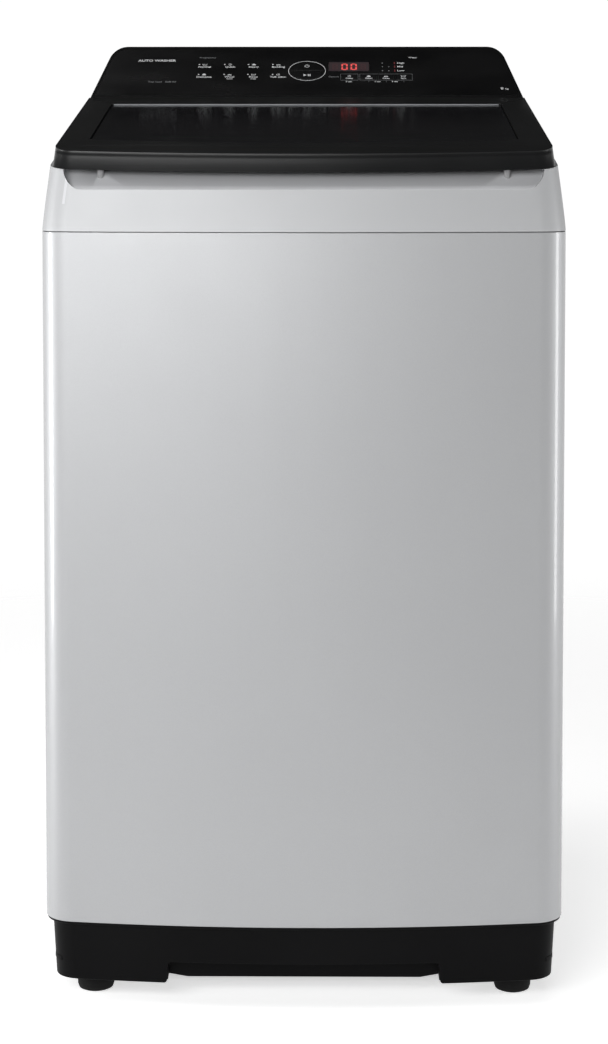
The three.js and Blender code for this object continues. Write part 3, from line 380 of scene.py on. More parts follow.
def mesh_object(name, verts, faces):
    mesh = bpy.data.meshes.new(name)
    mesh.from_pydata([Vector(v) * MM for v in verts], [], faces)
    mesh.validate()
    obj = in_scene(name, mesh)
    bm = bmesh.new()
    bm.from_mesh(mesh)
    bmesh.ops.recalc_face_normals(bm, faces=bm.faces)
    bm.to_mesh(mesh)
    bm.free()
    return obj


def loft(name, rings, closed=False):
    """Skin over rings of equally many points.

    `closed` joins the last ring to the first; otherwise both ends are capped."""
    count = len(rings[0])
    verts = [p for ring in rings for p in ring]
    faces = []
    last = len(rings) if closed else len(rings) - 1
    for i in range(last):
        a, b = i * count, ((i + 1) % len(rings)) * count
        for k in range(count):
            faces.append((a + k, a + (k + 1) % count, b + (k + 1) % count, b + k))
    if not closed:
        faces.append(tuple(range(count))[::-1])
        faces.append(tuple(range((len(rings) - 1) * count, len(rings) * count)))
    return mesh_object(name, verts, faces)


def prism(name, outline, z0, z1):
    return loft(name, [[(x, y, z) for x, y in outline] for z in (z0, z1)])


def along_y(name, outline, *places):
    """Skin over an (x, z) outline at each place along Y."""
    return loft(name, [[(x, y, z) for x, z in outline] for y in places])


def across_x(name, outline, *places):
    """Skin over a (y, z) outline at each place along X."""
    return loft(name, [[(x, y, z) for y, z in outline] for x in places])


def block(name, low, high):
    (x0, y0, z0), (x1, y1, z1) = low, high
    return prism(name, [(x0, y0), (x1, y0), (x1, y1), (x0, y1)], z0, z1)


def revolve(name, profile, steps=64):
    """Closed (radius, z) profile turned about Z."""
    rings = []
    for i in range(steps):
        a = 2 * math.pi * i / steps
        rings.append([(r * math.cos(a), r * math.sin(a), z) for r, z in profile])
    return loft(name, rings, closed=True)


def moved(obj, matrix):
    obj.data.transform(matrix)
    if matrix.determinant() < 0:
        obj.data.flip_normals()
    return obj


def shift(obj, x, y, z):
    return moved(obj, Matrix.Translation(Vector((x, y, z)) * MM))


def turn(obj, angle, axis):
    return moved(obj, Matrix.Rotation(angle, 4, axis))


def warped(obj, move):
    """Moves each vertex, in millimetres."""
    for v in obj.data.vertices:
        v.co = Vector(move(*(v.co / MM))) * MM
    return obj


def evaluated_mesh(obj):
    bpy.context.view_layer.update()
    graph = bpy.context.evaluated_depsgraph_get()
    return bpy.data.meshes.new_from_object(obj.evaluated_get(graph))


def bake(obj):
    """Applies the object's modifiers."""
    mesh = evaluated_mesh(obj)
    obj.modifiers.clear()
    obj.data = mesh
    return obj


def combine(obj, other, operation):
    """Boolean of two solids. Where the fast solver leaves nothing or changes nothing, the exact one runs."""
    mod = obj.modifiers.new("combine", "BOOLEAN")
    mod.operation = operation
    mod.object = other
    mod.solver = "MANIFOLD"
    before = len(obj.data.polygons)
    mesh = evaluated_mesh(obj)
    if len(mesh.polygons) == 0 or (len(mesh.polygons) == before and operation != "INTERSECT"):
        mod.solver = "EXACT"
        mesh = evaluated_mesh(obj)
    obj.modifiers.clear()
    obj.data = mesh
    bpy.data.objects.remove(other)
    return obj


def cut(obj, other):
    return combine(obj, other, "DIFFERENCE")


def join_solid(obj, other):
    return combine(obj, other, "UNION")


def keep(obj, other):
    return combine(obj, other, "INTERSECT")


def merge(*objects):
    """Several objects' meshes in the first one."""
    bm = bmesh.new()
    for o in objects:
        bm.from_mesh(o.data)
    bm.to_mesh(objects[0].data)
    bm.free()
    for o in objects[1:]:
        bpy.data.objects.remove(o)
    return objects[0]


def soften(obj, width=0.6, segments=2, angle=32):
    """Rounds the sharp edges by `width` millimetres and shades the rest smooth."""
    bm = bmesh.new()
    bm.from_mesh(obj.data)
    bmesh.ops.remove_doubles(bm, verts=bm.verts, dist=1e-6)
    bmesh.ops.dissolve_limit(bm, angle_limit=FLAT_ANGLE, verts=bm.verts, edges=bm.edges)
    bm.to_mesh(obj.data)
    bm.free()
    if width:
        mod = obj.modifiers.new("round", "BEVEL")
        mod.width = width * MM
        mod.segments = segments
        mod.limit_method = "ANGLE"
        mod.angle_limit = math.radians(angle)
        mod.use_clamp_overlap = True
        mod.miter_outer = "MITER_ARC"
        bake(obj)
    shade_smooth(obj)
    weighted = obj.modifiers.new("weighted", "WEIGHTED_NORMAL")
    weighted.keep_sharp = True
    weighted.weight = 80
    return bake(obj)


def shade_smooth(obj):
    for polygon in obj.data.polygons:
        polygon.use_smooth = True
    obj.data.set_sharp_from_angle(angle=SHARP_ANGLE)


def settle(obj, node, material=None, stands_for=True):
    """Gives a finished piece its material and its body, and hides the CAD node it stands for when
    `stands_for` is set.
    """
    slot = SLOT_OF[node]
    obj.data.materials.clear()
    obj.data.materials.append(MATERIALS[material or slot])
    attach(obj, BODY_OF[node])
    if stands_for:
        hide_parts(node)
    return obj


def refine(node, width=0.5, segments=2, material=None):
    """The CAD solid itself with rounded edges."""
    obj = in_scene(node + "_piece", frame["nodes"][node].data.copy())
    return settle(soften(obj, width, segments), node, material)


def arc(cx, cy, r, start, end, steps):
    points = []
    for i in range(steps + 1):
        a = math.radians(start + (end - start) * i / steps)
        points.append((cx + r * math.cos(a), cy + r * math.sin(a)))
    return points


def circle(cx, cy, r, steps):
    return arc(cx, cy, r, 0, 360 - 360 / steps, steps - 1)


def round_rect(x0, y0, x1, y1, r, steps=8):
    return [
        *arc(x1 - r, y0 + r, r, -90, 0, steps),
        *arc(x1 - r, y1 - r, r, 0, 90, steps),
        *arc(x0 + r, y1 - r, r, 90, 180, steps),
        *arc(x0 + r, y0 + r, r, 180, 270, steps),
    ]


def bowed_rect(half, front, back, bow, front_r, back_r, corner=16, across=48, rear=6):
    """A rectangle with round corners and a front edge bowed out in the middle."""
    lean = math.atan(2 * bow * (half - front_r) / half**2)
    join_x = half - front_r + front_r * math.sin(lean)
    centre_y = front + bow * (join_x / half) ** 2 + front_r * math.cos(lean)
    middle = []
    for i in range(1, across):
        x = -join_x + 2 * join_x * i / across
        middle.append((x, front + bow * (x / half) ** 2))
    lean = math.degrees(lean)
    return [
        *arc(-(half - front_r), centre_y, front_r, 180, 270 - lean, corner),
        *middle,
        *arc(half - front_r, centre_y, front_r, 270 + lean, 360, corner),
        *arc(half - back_r, back - back_r, back_r, 0, 90, rear),
        *arc(-(half - back_r), back - back_r, back_r, 90, 180, rear),
    ]


def plan(inset):
    return bowed_rect(
        HALF_W - inset, FRONT_Y + inset, BACK_Y - inset, FRONT_BOW,
        FRONT_R - inset, max(BACK_R - inset, 2),
    )


def sweep(name, profile, shape=None):
    """Carries a closed (inset, z) profile round the cabinet's plan."""
    rings = []
    for inset, z in profile:
        ring = [(x, y, z) for x, y in plan(inset)]
        rings.append([shape(*p) for p in ring] if shape else ring)
    return loft(name, rings, closed=True)


def bar_y(name, x, z, r, y0, y1):
    """A round bar along Y."""
    return along_y(name, circle(x, z, r, 48), y0, y1)


def bar_z(name, x, y, r, z0, z1, steps=48):
    return prism(name, circle(x, y, r, steps), z0, z1)


def mirrored(obj, sx, sy=1):
    return moved(obj, Matrix.Diagonal((sx, sy, 1, 1)))


# ------------------------------------------------------------------ cabinet
def rear_cut(outline):
    """A prism along Y through the back wall, from an (x, z) outline."""
    return along_y("cutter", outline, BACK_Y - 30, BACK_Y + 10)


def steel_cabinet():
    hem = 5
    inner = SHEET + 0.2
    profile = [
        (0.9, CABINET_TOP), (0.3, CABINET_TOP - 0.3), (0, CABINET_TOP - 1.0), (0, CABINET_Z + hem),
        (0.25, CABINET_Z + 3.2), (0, CABINET_Z + 2.4), (0, CABINET_Z + 1.0), (0.5, CABINET_Z + 0.15),
        (1.0, CABINET_Z), (1.25, CABINET_Z + 0.5), (1.25, CABINET_Z + hem),
        (inner, CABINET_Z + hem + 3.4), (inner, CABINET_TOP),
    ]
    wrap = sweep("steel_cabinet", profile)
    low, high = (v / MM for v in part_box("rear_panel"))
    margin = 14
    opening = round_rect(low.x + margin, low.z + margin, high.x - margin, high.z - margin, 20)
    wrap = cut(wrap, rear_cut(opening))
    wrap = cut(wrap, bar_y("hole", DRAIN_X, DRAIN_Z, DRAIN_R, BACK_Y - 10, BACK_Y + 10))
    pieces = [soften(wrap, 0.25, 1, 40)]
    reach, flange_z, shelf_z, top_z, rod_hole_r = 31, 754, 776, 779, 7
    for _, sx, sy in CORNERS:
        gusset = block("gusset", (-reach, -reach, shelf_z), (reach, reach, top_z))
        gusset = join_solid(gusset, block("flange", (-reach, -reach, flange_z), (reach, 2 - reach, top_z)))
        gusset = cut(gusset, bar_z("hole", 0, 0, rod_hole_r, flange_z - 4, top_z + 11, 24))
        gusset = mirrored(gusset, sx, -sy)
        pieces.append(soften(shift(gusset, sx * ROD_X, sy * ROD_Y, 0), 0.4))
    rail_wide, rail_front, rail_back = 21, -222, 262
    for side in (-1, 1):
        rail = block(
            "rail", (HALF_W - rail_wide, rail_front, shelf_z + 0.2), (HALF_W - 0.9, rail_back, top_z - 0.2)
        )
        pieces.append(soften(mirrored(rail, side), 0.3))
    return settle(merge(*pieces), "cabinet_shell")


def screw(name, at, along, node):
    """A cross-head screw with its head facing `along`."""
    r = SCREW_R
    head = revolve(name, [(0.01, 0), (r, 0), (r, 1.0), (r * 0.86, 1.9), (r * 0.5, 2.5), (0.01, 2.7)], 24)
    for angle in (0, math.pi / 2):
        slot = block("slot", (-r * 0.62, -0.45, 1.5), (r * 0.62, 0.45, 4))
        head = cut(head, turn(slot, angle + 0.35, "Z"))
    up = Vector((0, 0, 1)).rotation_difference(Vector(along)).to_matrix().to_4x4()
    head = shift(moved(soften(head, 0.15, 1), up), *at)
    return settle(head, node, "galvanised", stands_for=False)


def service_panel():
    refine("rear_panel", 1.2, 3)
    low, high = (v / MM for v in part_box("rear_panel"))
    in_x, in_z = 24, 21
    places = [
        (x, z)
        for z in (low.z + in_z, (low.z + high.z) / 2, high.z - in_z)
        for x in (low.x + in_x, high.x - in_x)
    ]
    for count, (x, z) in enumerate(places, 1):
        screw(f"panel_screw_{count}", (x, BACK_Y - 3.0, z), (0, 1, 0), "rear_panel")


def moulded_base():
    wall = 3.5
    top = CABINET_Z - 0.6
    tuck = 18
    taper = 0.012

    def tapered(x, y, z):
        k = 1 - taper * (CABINET_Z - z) / (CABINET_Z - BASE_Z)
        return x * k, y * k, z

    profile = [
        (7 + wall, BASE_Z), (7.9, BASE_Z), (7.25, BASE_Z + 0.35), (7, BASE_Z + 1.1), (7, 44), (7, 66),
        (7, top - 3), (1.8, top - 2.4), (1.3, top - 1.8), (1.3, CABINET_Z + tuck), (4, CABINET_Z + tuck),
        (4, top), (7 + wall, top),
    ]
    body = sweep("moulded_base", profile, shape=tapered)
    half, notch_top = 141.5, 45
    foot_r, top_r = 4, 6
    foot_x, foot_z = half + foot_r, BASE_Z + foot_r
    outline = [
        (foot_x + 1, BASE_Z - 2), (foot_x, BASE_Z), *arc(foot_x, foot_z, foot_r, 270, 180, 6),
        *arc(half - top_r, notch_top - top_r, top_r, 0, 90, 8),
        *arc(-half + top_r, notch_top - top_r, top_r, 90, 180, 8),
        *arc(-foot_x, foot_z, foot_r, 0, -90, 6), (-foot_x - 1, BASE_Z - 2),
    ]
    body = cut(body, along_y("notch", outline, FRONT_Y - 10, FRONT_Y + 42))
    front = FRONT_Y + 37
    back = front + 3
    lining = block("lining", (-half - 2, FRONT_Y, notch_top - 1), (half + 2, back, notch_top + 2))
    flat, rise, high = 121.5, 3.7, 24
    bar_outline = [
        (-flat, BASE_Z), (flat, BASE_Z), (half, BASE_Z + rise), (half, BASE_Z + high),
        (-half, BASE_Z + high), (-half, BASE_Z + rise),
    ]
    lining = join_solid(lining, along_y("toe_bar", bar_outline, front, back))
    for near in (-half - 2, half - 1):
        cheek = block("cheek", (near, FRONT_Y, BASE_Z + rise), (near + 3, back, notch_top + 1))
        lining = join_solid(lining, cheek)
    lining = keep(lining, prism("inside", plan(11), BASE_Z, CABINET_Z))
    pieces = [soften(body, 0.7, 3, 30), soften(lining, 0.6, 2)]
    for _, sx, sy in CORNERS:
        pad = prism("pad", round_rect(-44, -34, 44, 34, 4), 40, 44)
        pad = join_solid(pad, bar_z("boss", 0, 0, 14, 40, 60))
        pad = cut(pad, bar_z("hole", 0, 0, 5.6, 0, 120))
        for gx in (-28, 28):
            pad = join_solid(pad, block("rib", (gx - 1.2, -30, 43), (gx + 1.2, 30, 56)))
        inside = prism("inside", plan(9), BASE_Z, CABINET_Z)
        pieces.append(soften(keep(at_foot(pad, sx, sy), inside), 0.5))
    return settle(merge(*pieces), "base_frame")


def at_foot(obj, sx, sy):
    """Carries a piece to one of the four feet."""
    return shift(obj, sx * FOOT_X, FOOT_FRONT_Y if sy < 0 else FOOT_BACK_Y, 0)


def levelling_feet():
    r, thick, nut_top = 19.5, 20, 30
    for tag, sx, sy in CORNERS:
        node = f"foot_{tag}"
        sole = revolve(f"foot_sole_{tag}", [
            (0.01, 0), (r - 4.5, 0), (r - 1.6, 1.4), (r - 0.3, 5), (r, 10), (r, 17), (r - 1.2, 19.2),
            (r - 4, thick), (0.01, thick),
        ], 64)
        for k in range(4):
            near, far = 4 + 3 * k, 4.9 + 3 * k
            sole = cut(sole, revolve("groove", [(near, -1), (far, -1), (far, 0.7), (near, 0.7)], 48))
        settle(at_foot(soften(sole, 0.4, 2), sx, sy), node)
        nut = prism(f"foot_nut_{tag}", circle(0, 0, 11, 6), thick, nut_top)
        settle(at_foot(soften(nut, 0.9, 2), sx, sy), node, "galvanised", stands_for=False)
        stem = threaded(f"foot_stem_{tag}", 5, 0.6, nut_top, 78, 1.5)
        settle(at_foot(stem, sx, sy), node, "galvanised", stands_for=False)


def threaded(name, crest, depth, z0, z1, pitch, steps=20):
    """A threaded bar along Z."""
    rings = []
    per_turn = 4
    for i in range(int((z1 - z0) / pitch * per_turn) + 1):
        z = min(z1, z0 + i * pitch / per_turn)
        ring = []
        for k in range(steps):
            a = 2 * math.pi * k / steps
            r = crest - depth * abs(((i / per_turn + k / steps) % 1) * 2 - 1)
            ring.append((r * math.cos(a), r * math.sin(a), z))
        rings.append(ring)
    return soften(loft(name, rings), 0)


# ------------------------------------------------------------------ top cover
OPENING = {"half": 205, "front": -214, "back": 96, "r": 70}
RECESS = {"half": 246, "r": 14, "z": 843, "inset": 4, "slope": math.radians(40)}


def cover_block(name, inset, low, drop, steps=20):
    rings = []
    for i in range(steps + 1):
        t = i / steps
        draw = 1 - 8 * t**1.15 / HALF_W
        ring = []
        for x, y in plan(inset):
            x, y = x * draw, y * draw
            ring.append((x, y, low + t * (cover_plane(y) - drop - low)))
        rings.append(ring)
    return loft(name, rings)


def recess_foot(x):
    """Where the recess wall starts at its low edge: it follows the bow of the front."""
    return FRONT_Y + RECESS["inset"] + FRONT_BOW * (x / HALF_W) ** 2


def recess_cutter(grow, back_limit):
    """The finger recess, with a back wall that slants away."""
    low = RECESS["z"] - grow
    reach, across = 265, 48
    edge = []
    for i in range(across + 1):
        x = reach - 2 * reach * i / across
        edge.append((x, recess_foot(x) + 1.4 * grow))
    outline = [(-reach, FRONT_Y - 60), (reach, FRONT_Y - 60), *edge]
    rings = []
    for rise in (0, 60):
        rings.append([(x, y + rise / math.tan(RECESS["slope"]), low + rise) for x, y in outline])
    half = RECESS["half"] + grow
    window = round_rect(-half, low, half, low + 120, RECESS["r"] + 10 + grow, 12)
    return keep(loft("recess", rings), along_y("window", window, -400, back_limit))


def top_cover():
    skin = cut(cover_block("top_cover_piece", 0, SEAM_Z, 0), recess_cutter(0, -236))
    hollow = cut(cover_block("hollow", PLASTIC, SEAM_Z - 6, PLASTIC), recess_cutter(PLASTIC, -233))
    body = cut(skin, hollow)
    half, front, back, r = OPENING.values()
    outer = round_rect(-half - PLASTIC, front - PLASTIC, half + PLASTIC, back + PLASTIC, r + PLASTIC, 16)
    well = keep(prism("well", outer, 800, 1000), cover_block("limit", 0, 800, 0, 6))
    body = join_solid(body, well)
    body = cut(body, prism("mouth", round_rect(-half, front, half, back, r, 16), 700, 1100))
    body = cut(body, block("window", (127, BACK_Y - 20, 857), (218, BACK_Y + 10, 903)))
    body = cut(body, bar_y("gland_hole", -190, INLET_Z, 9, BACK_Y - 38, BACK_Y + 22))
    body = cut(body, block("drawer_slot", (-160, 60, 857), (-30, 130, 905)))
    for side in (-1, 1):
        near, far = sorted((side * LUG_NEAR, side * LUG_FAR))
        lug = block("lug", (near, -LUG_R, -12), (far, LUG_R, 0))
        lug = join_solid(lug, along_x("eye", LUG_R, near, far, 32))
        lug = cut(lug, along_x("bore", PIN_BORE_R, near - 5, far + 5, 24))
        body = join_solid(body, shift(lug, 0, HINGE_Y, HINGE_Z))
        body = cut(body, bar_z("stem_hole", side * 208, -249.4, 2.2, 820, 900, 16))
    body = cut(body, block("cable_hole", (-150, 150, 900), (150, 225, 1000)))
    return paint_recess_lighter(settle(soften(body, 0.8, 3, 34), "top_cover"))


def paint_recess_lighter(cover):
    """The wall of the finger recess takes a lighter grey of its own: painted light on a wall that the lid's
    overhang shades.
    """
    cover.data.materials.append(MATERIALS["recess_painted_light_grey"])
    for polygon in cover.data.polygons:
        x, y, z = polygon.center / MM
        wall = recess_foot(x) + (z - RECESS["z"]) / math.tan(RECESS["slope"])
        if abs(x) < RECESS["half"] and z > RECESS["z"] + 0.2 and abs(y - wall) < 1.0:
            polygon.material_index = 1
    return cover


# ------------------------------------------------------------------ lid
LID_SIDE_GROW = 1.5
LID_SIDE_FLARE = 0.35
MITRE_AT = (224.5, -54.5)
MITRE_ANGLE = math.radians(31)
MITRE_LONG = 56
MITRE_WIDE = 1.2
MITRE_DEEP = 1.2
GLASS_R = 6
LID = {"half": 255, "front": -385, "r": 26, "flare": 7.5, "side": 31, "front_rail": 46, "rear_rail": 66}


def lid_outline(inset):
    half = LID["half"] - inset
    return bowed_rect(half, LID["front"] + inset, ROLL - inset, FRONT_BOW, LID["r"], 6, 14, 48, 4)


def glass_outline(inset):
    half = LID["half"] - LID["side"] - inset
    front = LID["front"] + LID["front_rail"] + inset
    return bowed_rect(half, front, ROLL - LID["rear_rail"] - inset, FRONT_BOW, GLASS_R, GLASS_R, 6, 48, 6)


def lid_place(obj):
    """From the lid's own frame, on its hinge axis, to its place on the machine."""
    matrix = Matrix.Translation(Vector((0, HINGE_Y, HINGE_Z)) * MM) @ Matrix.Rotation(LID_TILT, 4, "X")
    return moved(obj, matrix)


def lid_block(name, inset, low, high, steps=14):
    rings = []
    for i in range(steps + 1):
        t = i / steps
        grow = LID["flare"] * (1 - t) ** 1.5
        ring = []
        for x, y in lid_outline(inset):
            forward = min(1, max(0, y / LID["front"]))
            side_grow = LID_SIDE_GROW * forward + grow * LID_SIDE_FLARE
            x += math.copysign(side_grow, x) * min(1, abs(x) / 60)
            if y < LID["front"] / 2:
                y -= grow * min(1, (LID["front"] / 2 - y) / 90)
            ring.append((x, y, low + t * (high - low)))
        rings.append(ring)
    return loft(name, rings)


def along_x(name, r, x0, x1, steps=48):
    return turn(bar_z(name, 0, 0, r, x0, x1, steps), math.pi / 2, "Y")


def lid_frame():
    top, bottom = ROLL, ROLL - LID_SKIRT
    body = cut(lid_block("lid_frame_piece", 0, bottom, top), lid_block("under", PLASTIC, bottom - 5, top - 9))
    limit = join_solid(block("limit", (-400, -500, -100), (400, 0, 100)), along_x("roll", top, -400, 400, 64))
    body = keep(body, limit)
    body = cut(body, prism("seat", glass_outline(0), top - 6.4, top + 5))
    body = cut(body, prism("window", glass_outline(12), bottom - 5, top + 5))
    for side in (-1, 1):
        near, far = sorted((side * LUG_NEAR, side * LUG_FAR))
        body = join_solid(body, block("boss", (near - 10, -LUG_R, -LUG_R), (far + 10, 6, top - 3)))
        body = cut(body, block("pocket", (near - 1, -9, -30), (far + 1, top + 2, 7.1)))
        body = cut(body, along_x("bore", PIN_BORE_R, near - 9, far + 9, 24))
    body = soften(body, 1.5, 4, 30)
    edge = MITRE_WIDE / 2
    for side in (-1, 1):
        slit = [(-edge, 0), (edge, 0), (edge, MITRE_LONG), (-edge, MITRE_LONG)]
        groove = turn(prism("groove", slit, top - MITRE_DEEP, top + 3), -side * MITRE_ANGLE, "Z")
        body = cut(body, shift(groove, side * MITRE_AT[0], MITRE_AT[1], 0))
    deep, front_reach, side_reach = 8, 38, 24
    front_drop, side_drop = 4.0, 1.2

    def rolled(x, y, z):
        """The frame rolls down towards the front edge and, less, towards the sides."""
        if z > top - deep:
            front_edge = LID["front"] + FRONT_BOW * (x / LID["half"]) ** 2
            near_front = max(0.0, 1 - (y - front_edge) / front_reach)
            near_side = max(0.0, 1 - (LID["half"] - abs(x)) / side_reach)
            weight = min(1.0, (z - top + deep) / deep)
            z -= weight * (front_drop * near_front**1.6 + side_drop * near_side**2)
        return x, y, z

    warped(body, rolled)
    return settle(lid_place(body), "lid_frame", "lid_black")


def lid_glass():
    top = ROLL - 2
    pane = prism("lid_glass_piece", glass_outline(0.5), top - 4, top)
    settle(lid_place(soften(pane, 0.8, 3, 30)), "lid_glass")
    rim = ROLL - LID["rear_rail"]
    # A grey strip along the rear edge of the glass: a painted highlight where the step glints.
    painted_glint = block("lid_glass_painted_glint", (-221, rim - 2.2, top + 0.1), (221, rim - 0.6, top + 1.2))
    settle(lid_place(soften(painted_glint, 0.4, 2)), "lid_glass", "grey_plastic", stands_for=False)


# ------------------------------------------------------------------ console
def console_front(inset, low, top, steps=14):
    """The console seen from the front, as (x, z), with leaning sides and round upper corners."""
    r = CONSOLE_R - inset
    lean = math.tan(SIDE_LEAN)

    def side_x(z):
        return CONSOLE_HALF - inset - (z - CONSOLE_SIDE_Z) * lean

    centre_z = top - r
    centre_x = side_x(centre_z + r * math.sin(SIDE_LEAN)) - r * math.cos(SIDE_LEAN)
    right = [(side_x(low), low), *arc(centre_x, centre_z, r, math.degrees(SIDE_LEAN), 90, steps)]
    return [*right, *[(-x, z) for x, z in reversed(right)]]


def console_profile(inset, drop):
    s, c = math.sin(CONSOLE_TILT), math.cos(CONSOLE_TILT)

    def on_slope(d):
        return CONSOLE_Y + d * c + inset * s, CONSOLE_FRONT_Z + d * s - inset * c

    top_y = CONSOLE_Y + CONSOLE_SLOPE * c
    return [
        (CONSOLE_Y + inset, cover_plane(CONSOLE_Y + inset) + GAP - drop),
        (CONSOLE_BACK_Y - inset, cover_plane(CONSOLE_BACK_Y - inset) + GAP - drop),
        (238 - inset * 0.8, 1001 - inset * 0.5), (231 - inset * 0.5, HEIGHT - 2 - inset),
        (top_y + 6, HEIGHT - inset), on_slope(CONSOLE_SLOPE),
        (CONSOLE_Y + inset, on_slope(0)[1] + (1.2 if inset else 0)),
    ]


def console_block(name, inset, drop):
    side = across_x(name, console_profile(inset, drop), -260, 260)
    return keep(side, along_y("front", console_front(inset, 900, HEIGHT - inset), 100, 300))


def face_outline(inset):
    rise = math.sin(CONSOLE_TILT)
    points = console_front(inset, CONSOLE_FRONT_Z + inset * rise, HEIGHT - 1.5 - inset * rise)
    return [(x, (z - CONSOLE_FRONT_Z) / rise) for x, z in points]


def on_face(obj):
    """From the control face's own frame (x across, y up the slope, z out of it) to the machine."""
    at = Matrix.Translation(Vector((0, CONSOLE_Y, CONSOLE_FRONT_Z)) * MM)
    return moved(obj, at @ Matrix.Rotation(CONSOLE_TILT, 4, "X"))


def console_housing():
    body = cut(console_block("console_housing_piece", 0, 0), console_block("inner", PLASTIC + 0.5, 14))
    body = cut(body, on_face(prism("seat", face_outline(3.1), -2.4, 20)))
    body = cut(body, on_face(prism("window", round_rect(-26, 32, 132, 90, 4), -20, 5)))
    return settle(soften(body, 1.1, 4, 22), "console_housing", "black_plastic")


# ------------------------------------------------------------------ control face
KEY_XS = (50.6, 73.7, 94.4, 115.1)
KEY_LOW, KEY_HIGH, KEY_W = 38.4, 50.4, 19.2
DIAL_V, DIAL_R = 58.8, 20
DISPLAY = (25.5, 56.5, 75.5, 82.5)
INK_Z = 0.06
PANEL_LIFT = 0.02


def half_disc(r, upper, shift_v=0.0):
    split = 0.7
    a = math.degrees(math.asin(split / r))
    points = arc(0, 0, r, a, 180 - a, 32)
    if not upper:
        points = [(-x, -y) for x, y in points]
    out = []
    for x, y in points:
        y += shift_v
        scale = min(1.0, (DIAL_R - 0.4) / max(1e-6, math.hypot(x, y))) if shift_v else 1.0
        out.append((x * scale, y * scale + DIAL_V))
    return out


def key_rect(x, trim):
    return round_rect(x - KEY_W / 2 + trim, KEY_LOW + trim, x + KEY_W / 2 - trim, KEY_HIGH - trim, 1.5, 5)


def display_rect(trim):
    x0, v0, x1, v1 = DISPLAY
    return round_rect(x0 + trim, v0 + trim, x1 - trim, v1 - trim, 2, 5)


def fascia():
    body = prism("console_fascia_piece", face_outline(3.5), -2, 0)
    for outline in (*[key_rect(x, 0) for x in KEY_XS], display_rect(0), half_disc(DIAL_R, True),
                    half_disc(DIAL_R, False)):
        body = cut(body, prism("hole", outline, -5, 5))
    settle(on_face(soften(body, 0.25, 2, 40)), "console_fascia")
    window = prism("display_window_piece", display_rect(0.4), -2, -0.1)
    settle(on_face(soften(window, 0.2, 2)), "display_window")
    for node, upper in (("power_button", True), ("start_button", False)):
        cap = prism(node + "_piece", half_disc(DIAL_R - 0.45, upper, 0.4 if upper else -0.4), -5, 0)
        settle(on_face(soften(cap, 0.25, 2, 40)), node)
    for i, x in enumerate(KEY_XS):
        cap = prism(f"option_key_{i + 1}_piece", key_rect(x, 0.4), -5, 0)
        settle(on_face(soften(cap, 0.25, 2, 40)), f"option_key_{i + 1}")


class Print:
    """Collects flat printed marks on the control face as thin raised slabs."""

    def __init__(self, name, material, node, lift=INK_Z):
        self.name, self.material, self.node, self.lift = name, material, node, lift
        self.verts, self.faces = [], []

    def poly(self, outline, z=0.0):
        base = len(self.verts)
        count = len(outline)
        self.verts += [(x, y, z) for x, y in outline] + [(x, y, z + self.lift) for x, y in outline]
        self.faces.append(tuple(base + count + k for k in range(count)))
        self.faces.append(tuple(base + k for k in reversed(range(count))))
        for k in range(count):
            j = (k + 1) % count
            self.faces.append((base + k, base + j, base + count + j, base + count + k))

    def rect(self, x0, y0, x1, y1, r=0.0, z=0.0):
        self.poly(round_rect(x0, y0, x1, y1, r, 3) if r else [(x0, y0), (x1, y0), (x1, y1), (x0, y1)], z)

    def line(self, points, width):
        for (ax, ay), (bx, by) in zip(points, points[1:]):
            length = math.hypot(bx - ax, by - ay)
            nx, ny = -(by - ay) / length * width / 2, (bx - ax) / length * width / 2
            self.poly([(ax + nx, ay + ny), (ax - nx, ay - ny), (bx - nx, by - ny), (bx + nx, by + ny)])

    def disc(self, x, y, r, steps=16):
        self.poly(circle(x, y, r, steps))

    def ring(self, x, y, r, width, start=0, end=360, steps=48):
        for k in range(steps):
            a, b = (start + (end - start) * (k + j) / steps for j in (0, 1))
            outer, inner = arc(x, y, r, a, b, 1), arc(x, y, r - width, a, b, 1)
            self.poly([*outer, *reversed(inner)])

    def place(self):
        obj = mesh_object(self.name, self.verts, self.faces)
        settle(on_face(obj), self.node, self.material, stands_for=False)


def label(name, words, x, v, size, material="ink", node="console_fascia", align="CENTER"):
    """A printed word on the control face."""
    curve = bpy.data.curves.new(name, "FONT")
    curve.body = words
    curve.size = size * MM
    curve.align_x = align
    curve.align_y = "CENTER"
    curve.extrude = INK_Z / 2 * MM
    curve.offset = 0.012 * size * MM
    curve.resolution_u = 3
    text = in_scene(name + "_text", curve)
    mesh = evaluated_mesh(text)
    bpy.data.objects.remove(text)
    obj = shift(in_scene(name, mesh), x, v, 0.035)
    settle(on_face(obj), node, material, stands_for=False)


PROGRAMS = (
    ("Normal", "Quick", "Heavy", "Bedding"),
    ("Delicates", "Wool", "Rinse", "Tub clean"),
)
PROGRAM_XS = (-123, -92.5, -64, -34.5)


def program_icon(ink, kind, x, v):
    """Small pictograms for the wash programmes."""
    if kind % 4 == 0:
        ink.line([(x - 2.6, v + 1.6), (x - 2.0, v - 1.6), (x + 2.0, v - 1.6), (x + 2.6, v + 1.6)], 0.5)
        ink.line([(x - 2.4, v + 0.5), (x - 0.8, v + 1.0), (x + 0.8, v + 0.3), (x + 2.4, v + 0.9)], 0.4)
    elif kind % 4 == 1:
        ink.ring(x, v, 2.0, 0.5, steps=20)
        ink.line([(x, v), (x, v + 1.4)], 0.4)
        ink.line([(x, v), (x + 1.0, v)], 0.4)
    elif kind % 4 == 2:
        ink.rect(x - 2.2, v - 1.6, x + 2.2, v + 0.6, 0.4)
        ink.rect(x - 1.2, v + 0.9, x + 1.2, v + 1.7, 0.3)
    else:
        for k in (-1, 0, 1):
            ink.disc(x + 1.6 * k, v - 0.5 * abs(k), 0.75, steps=12)
        ink.line([(x - 2.4, v - 1.7), (x + 2.4, v - 1.7)], 0.4)


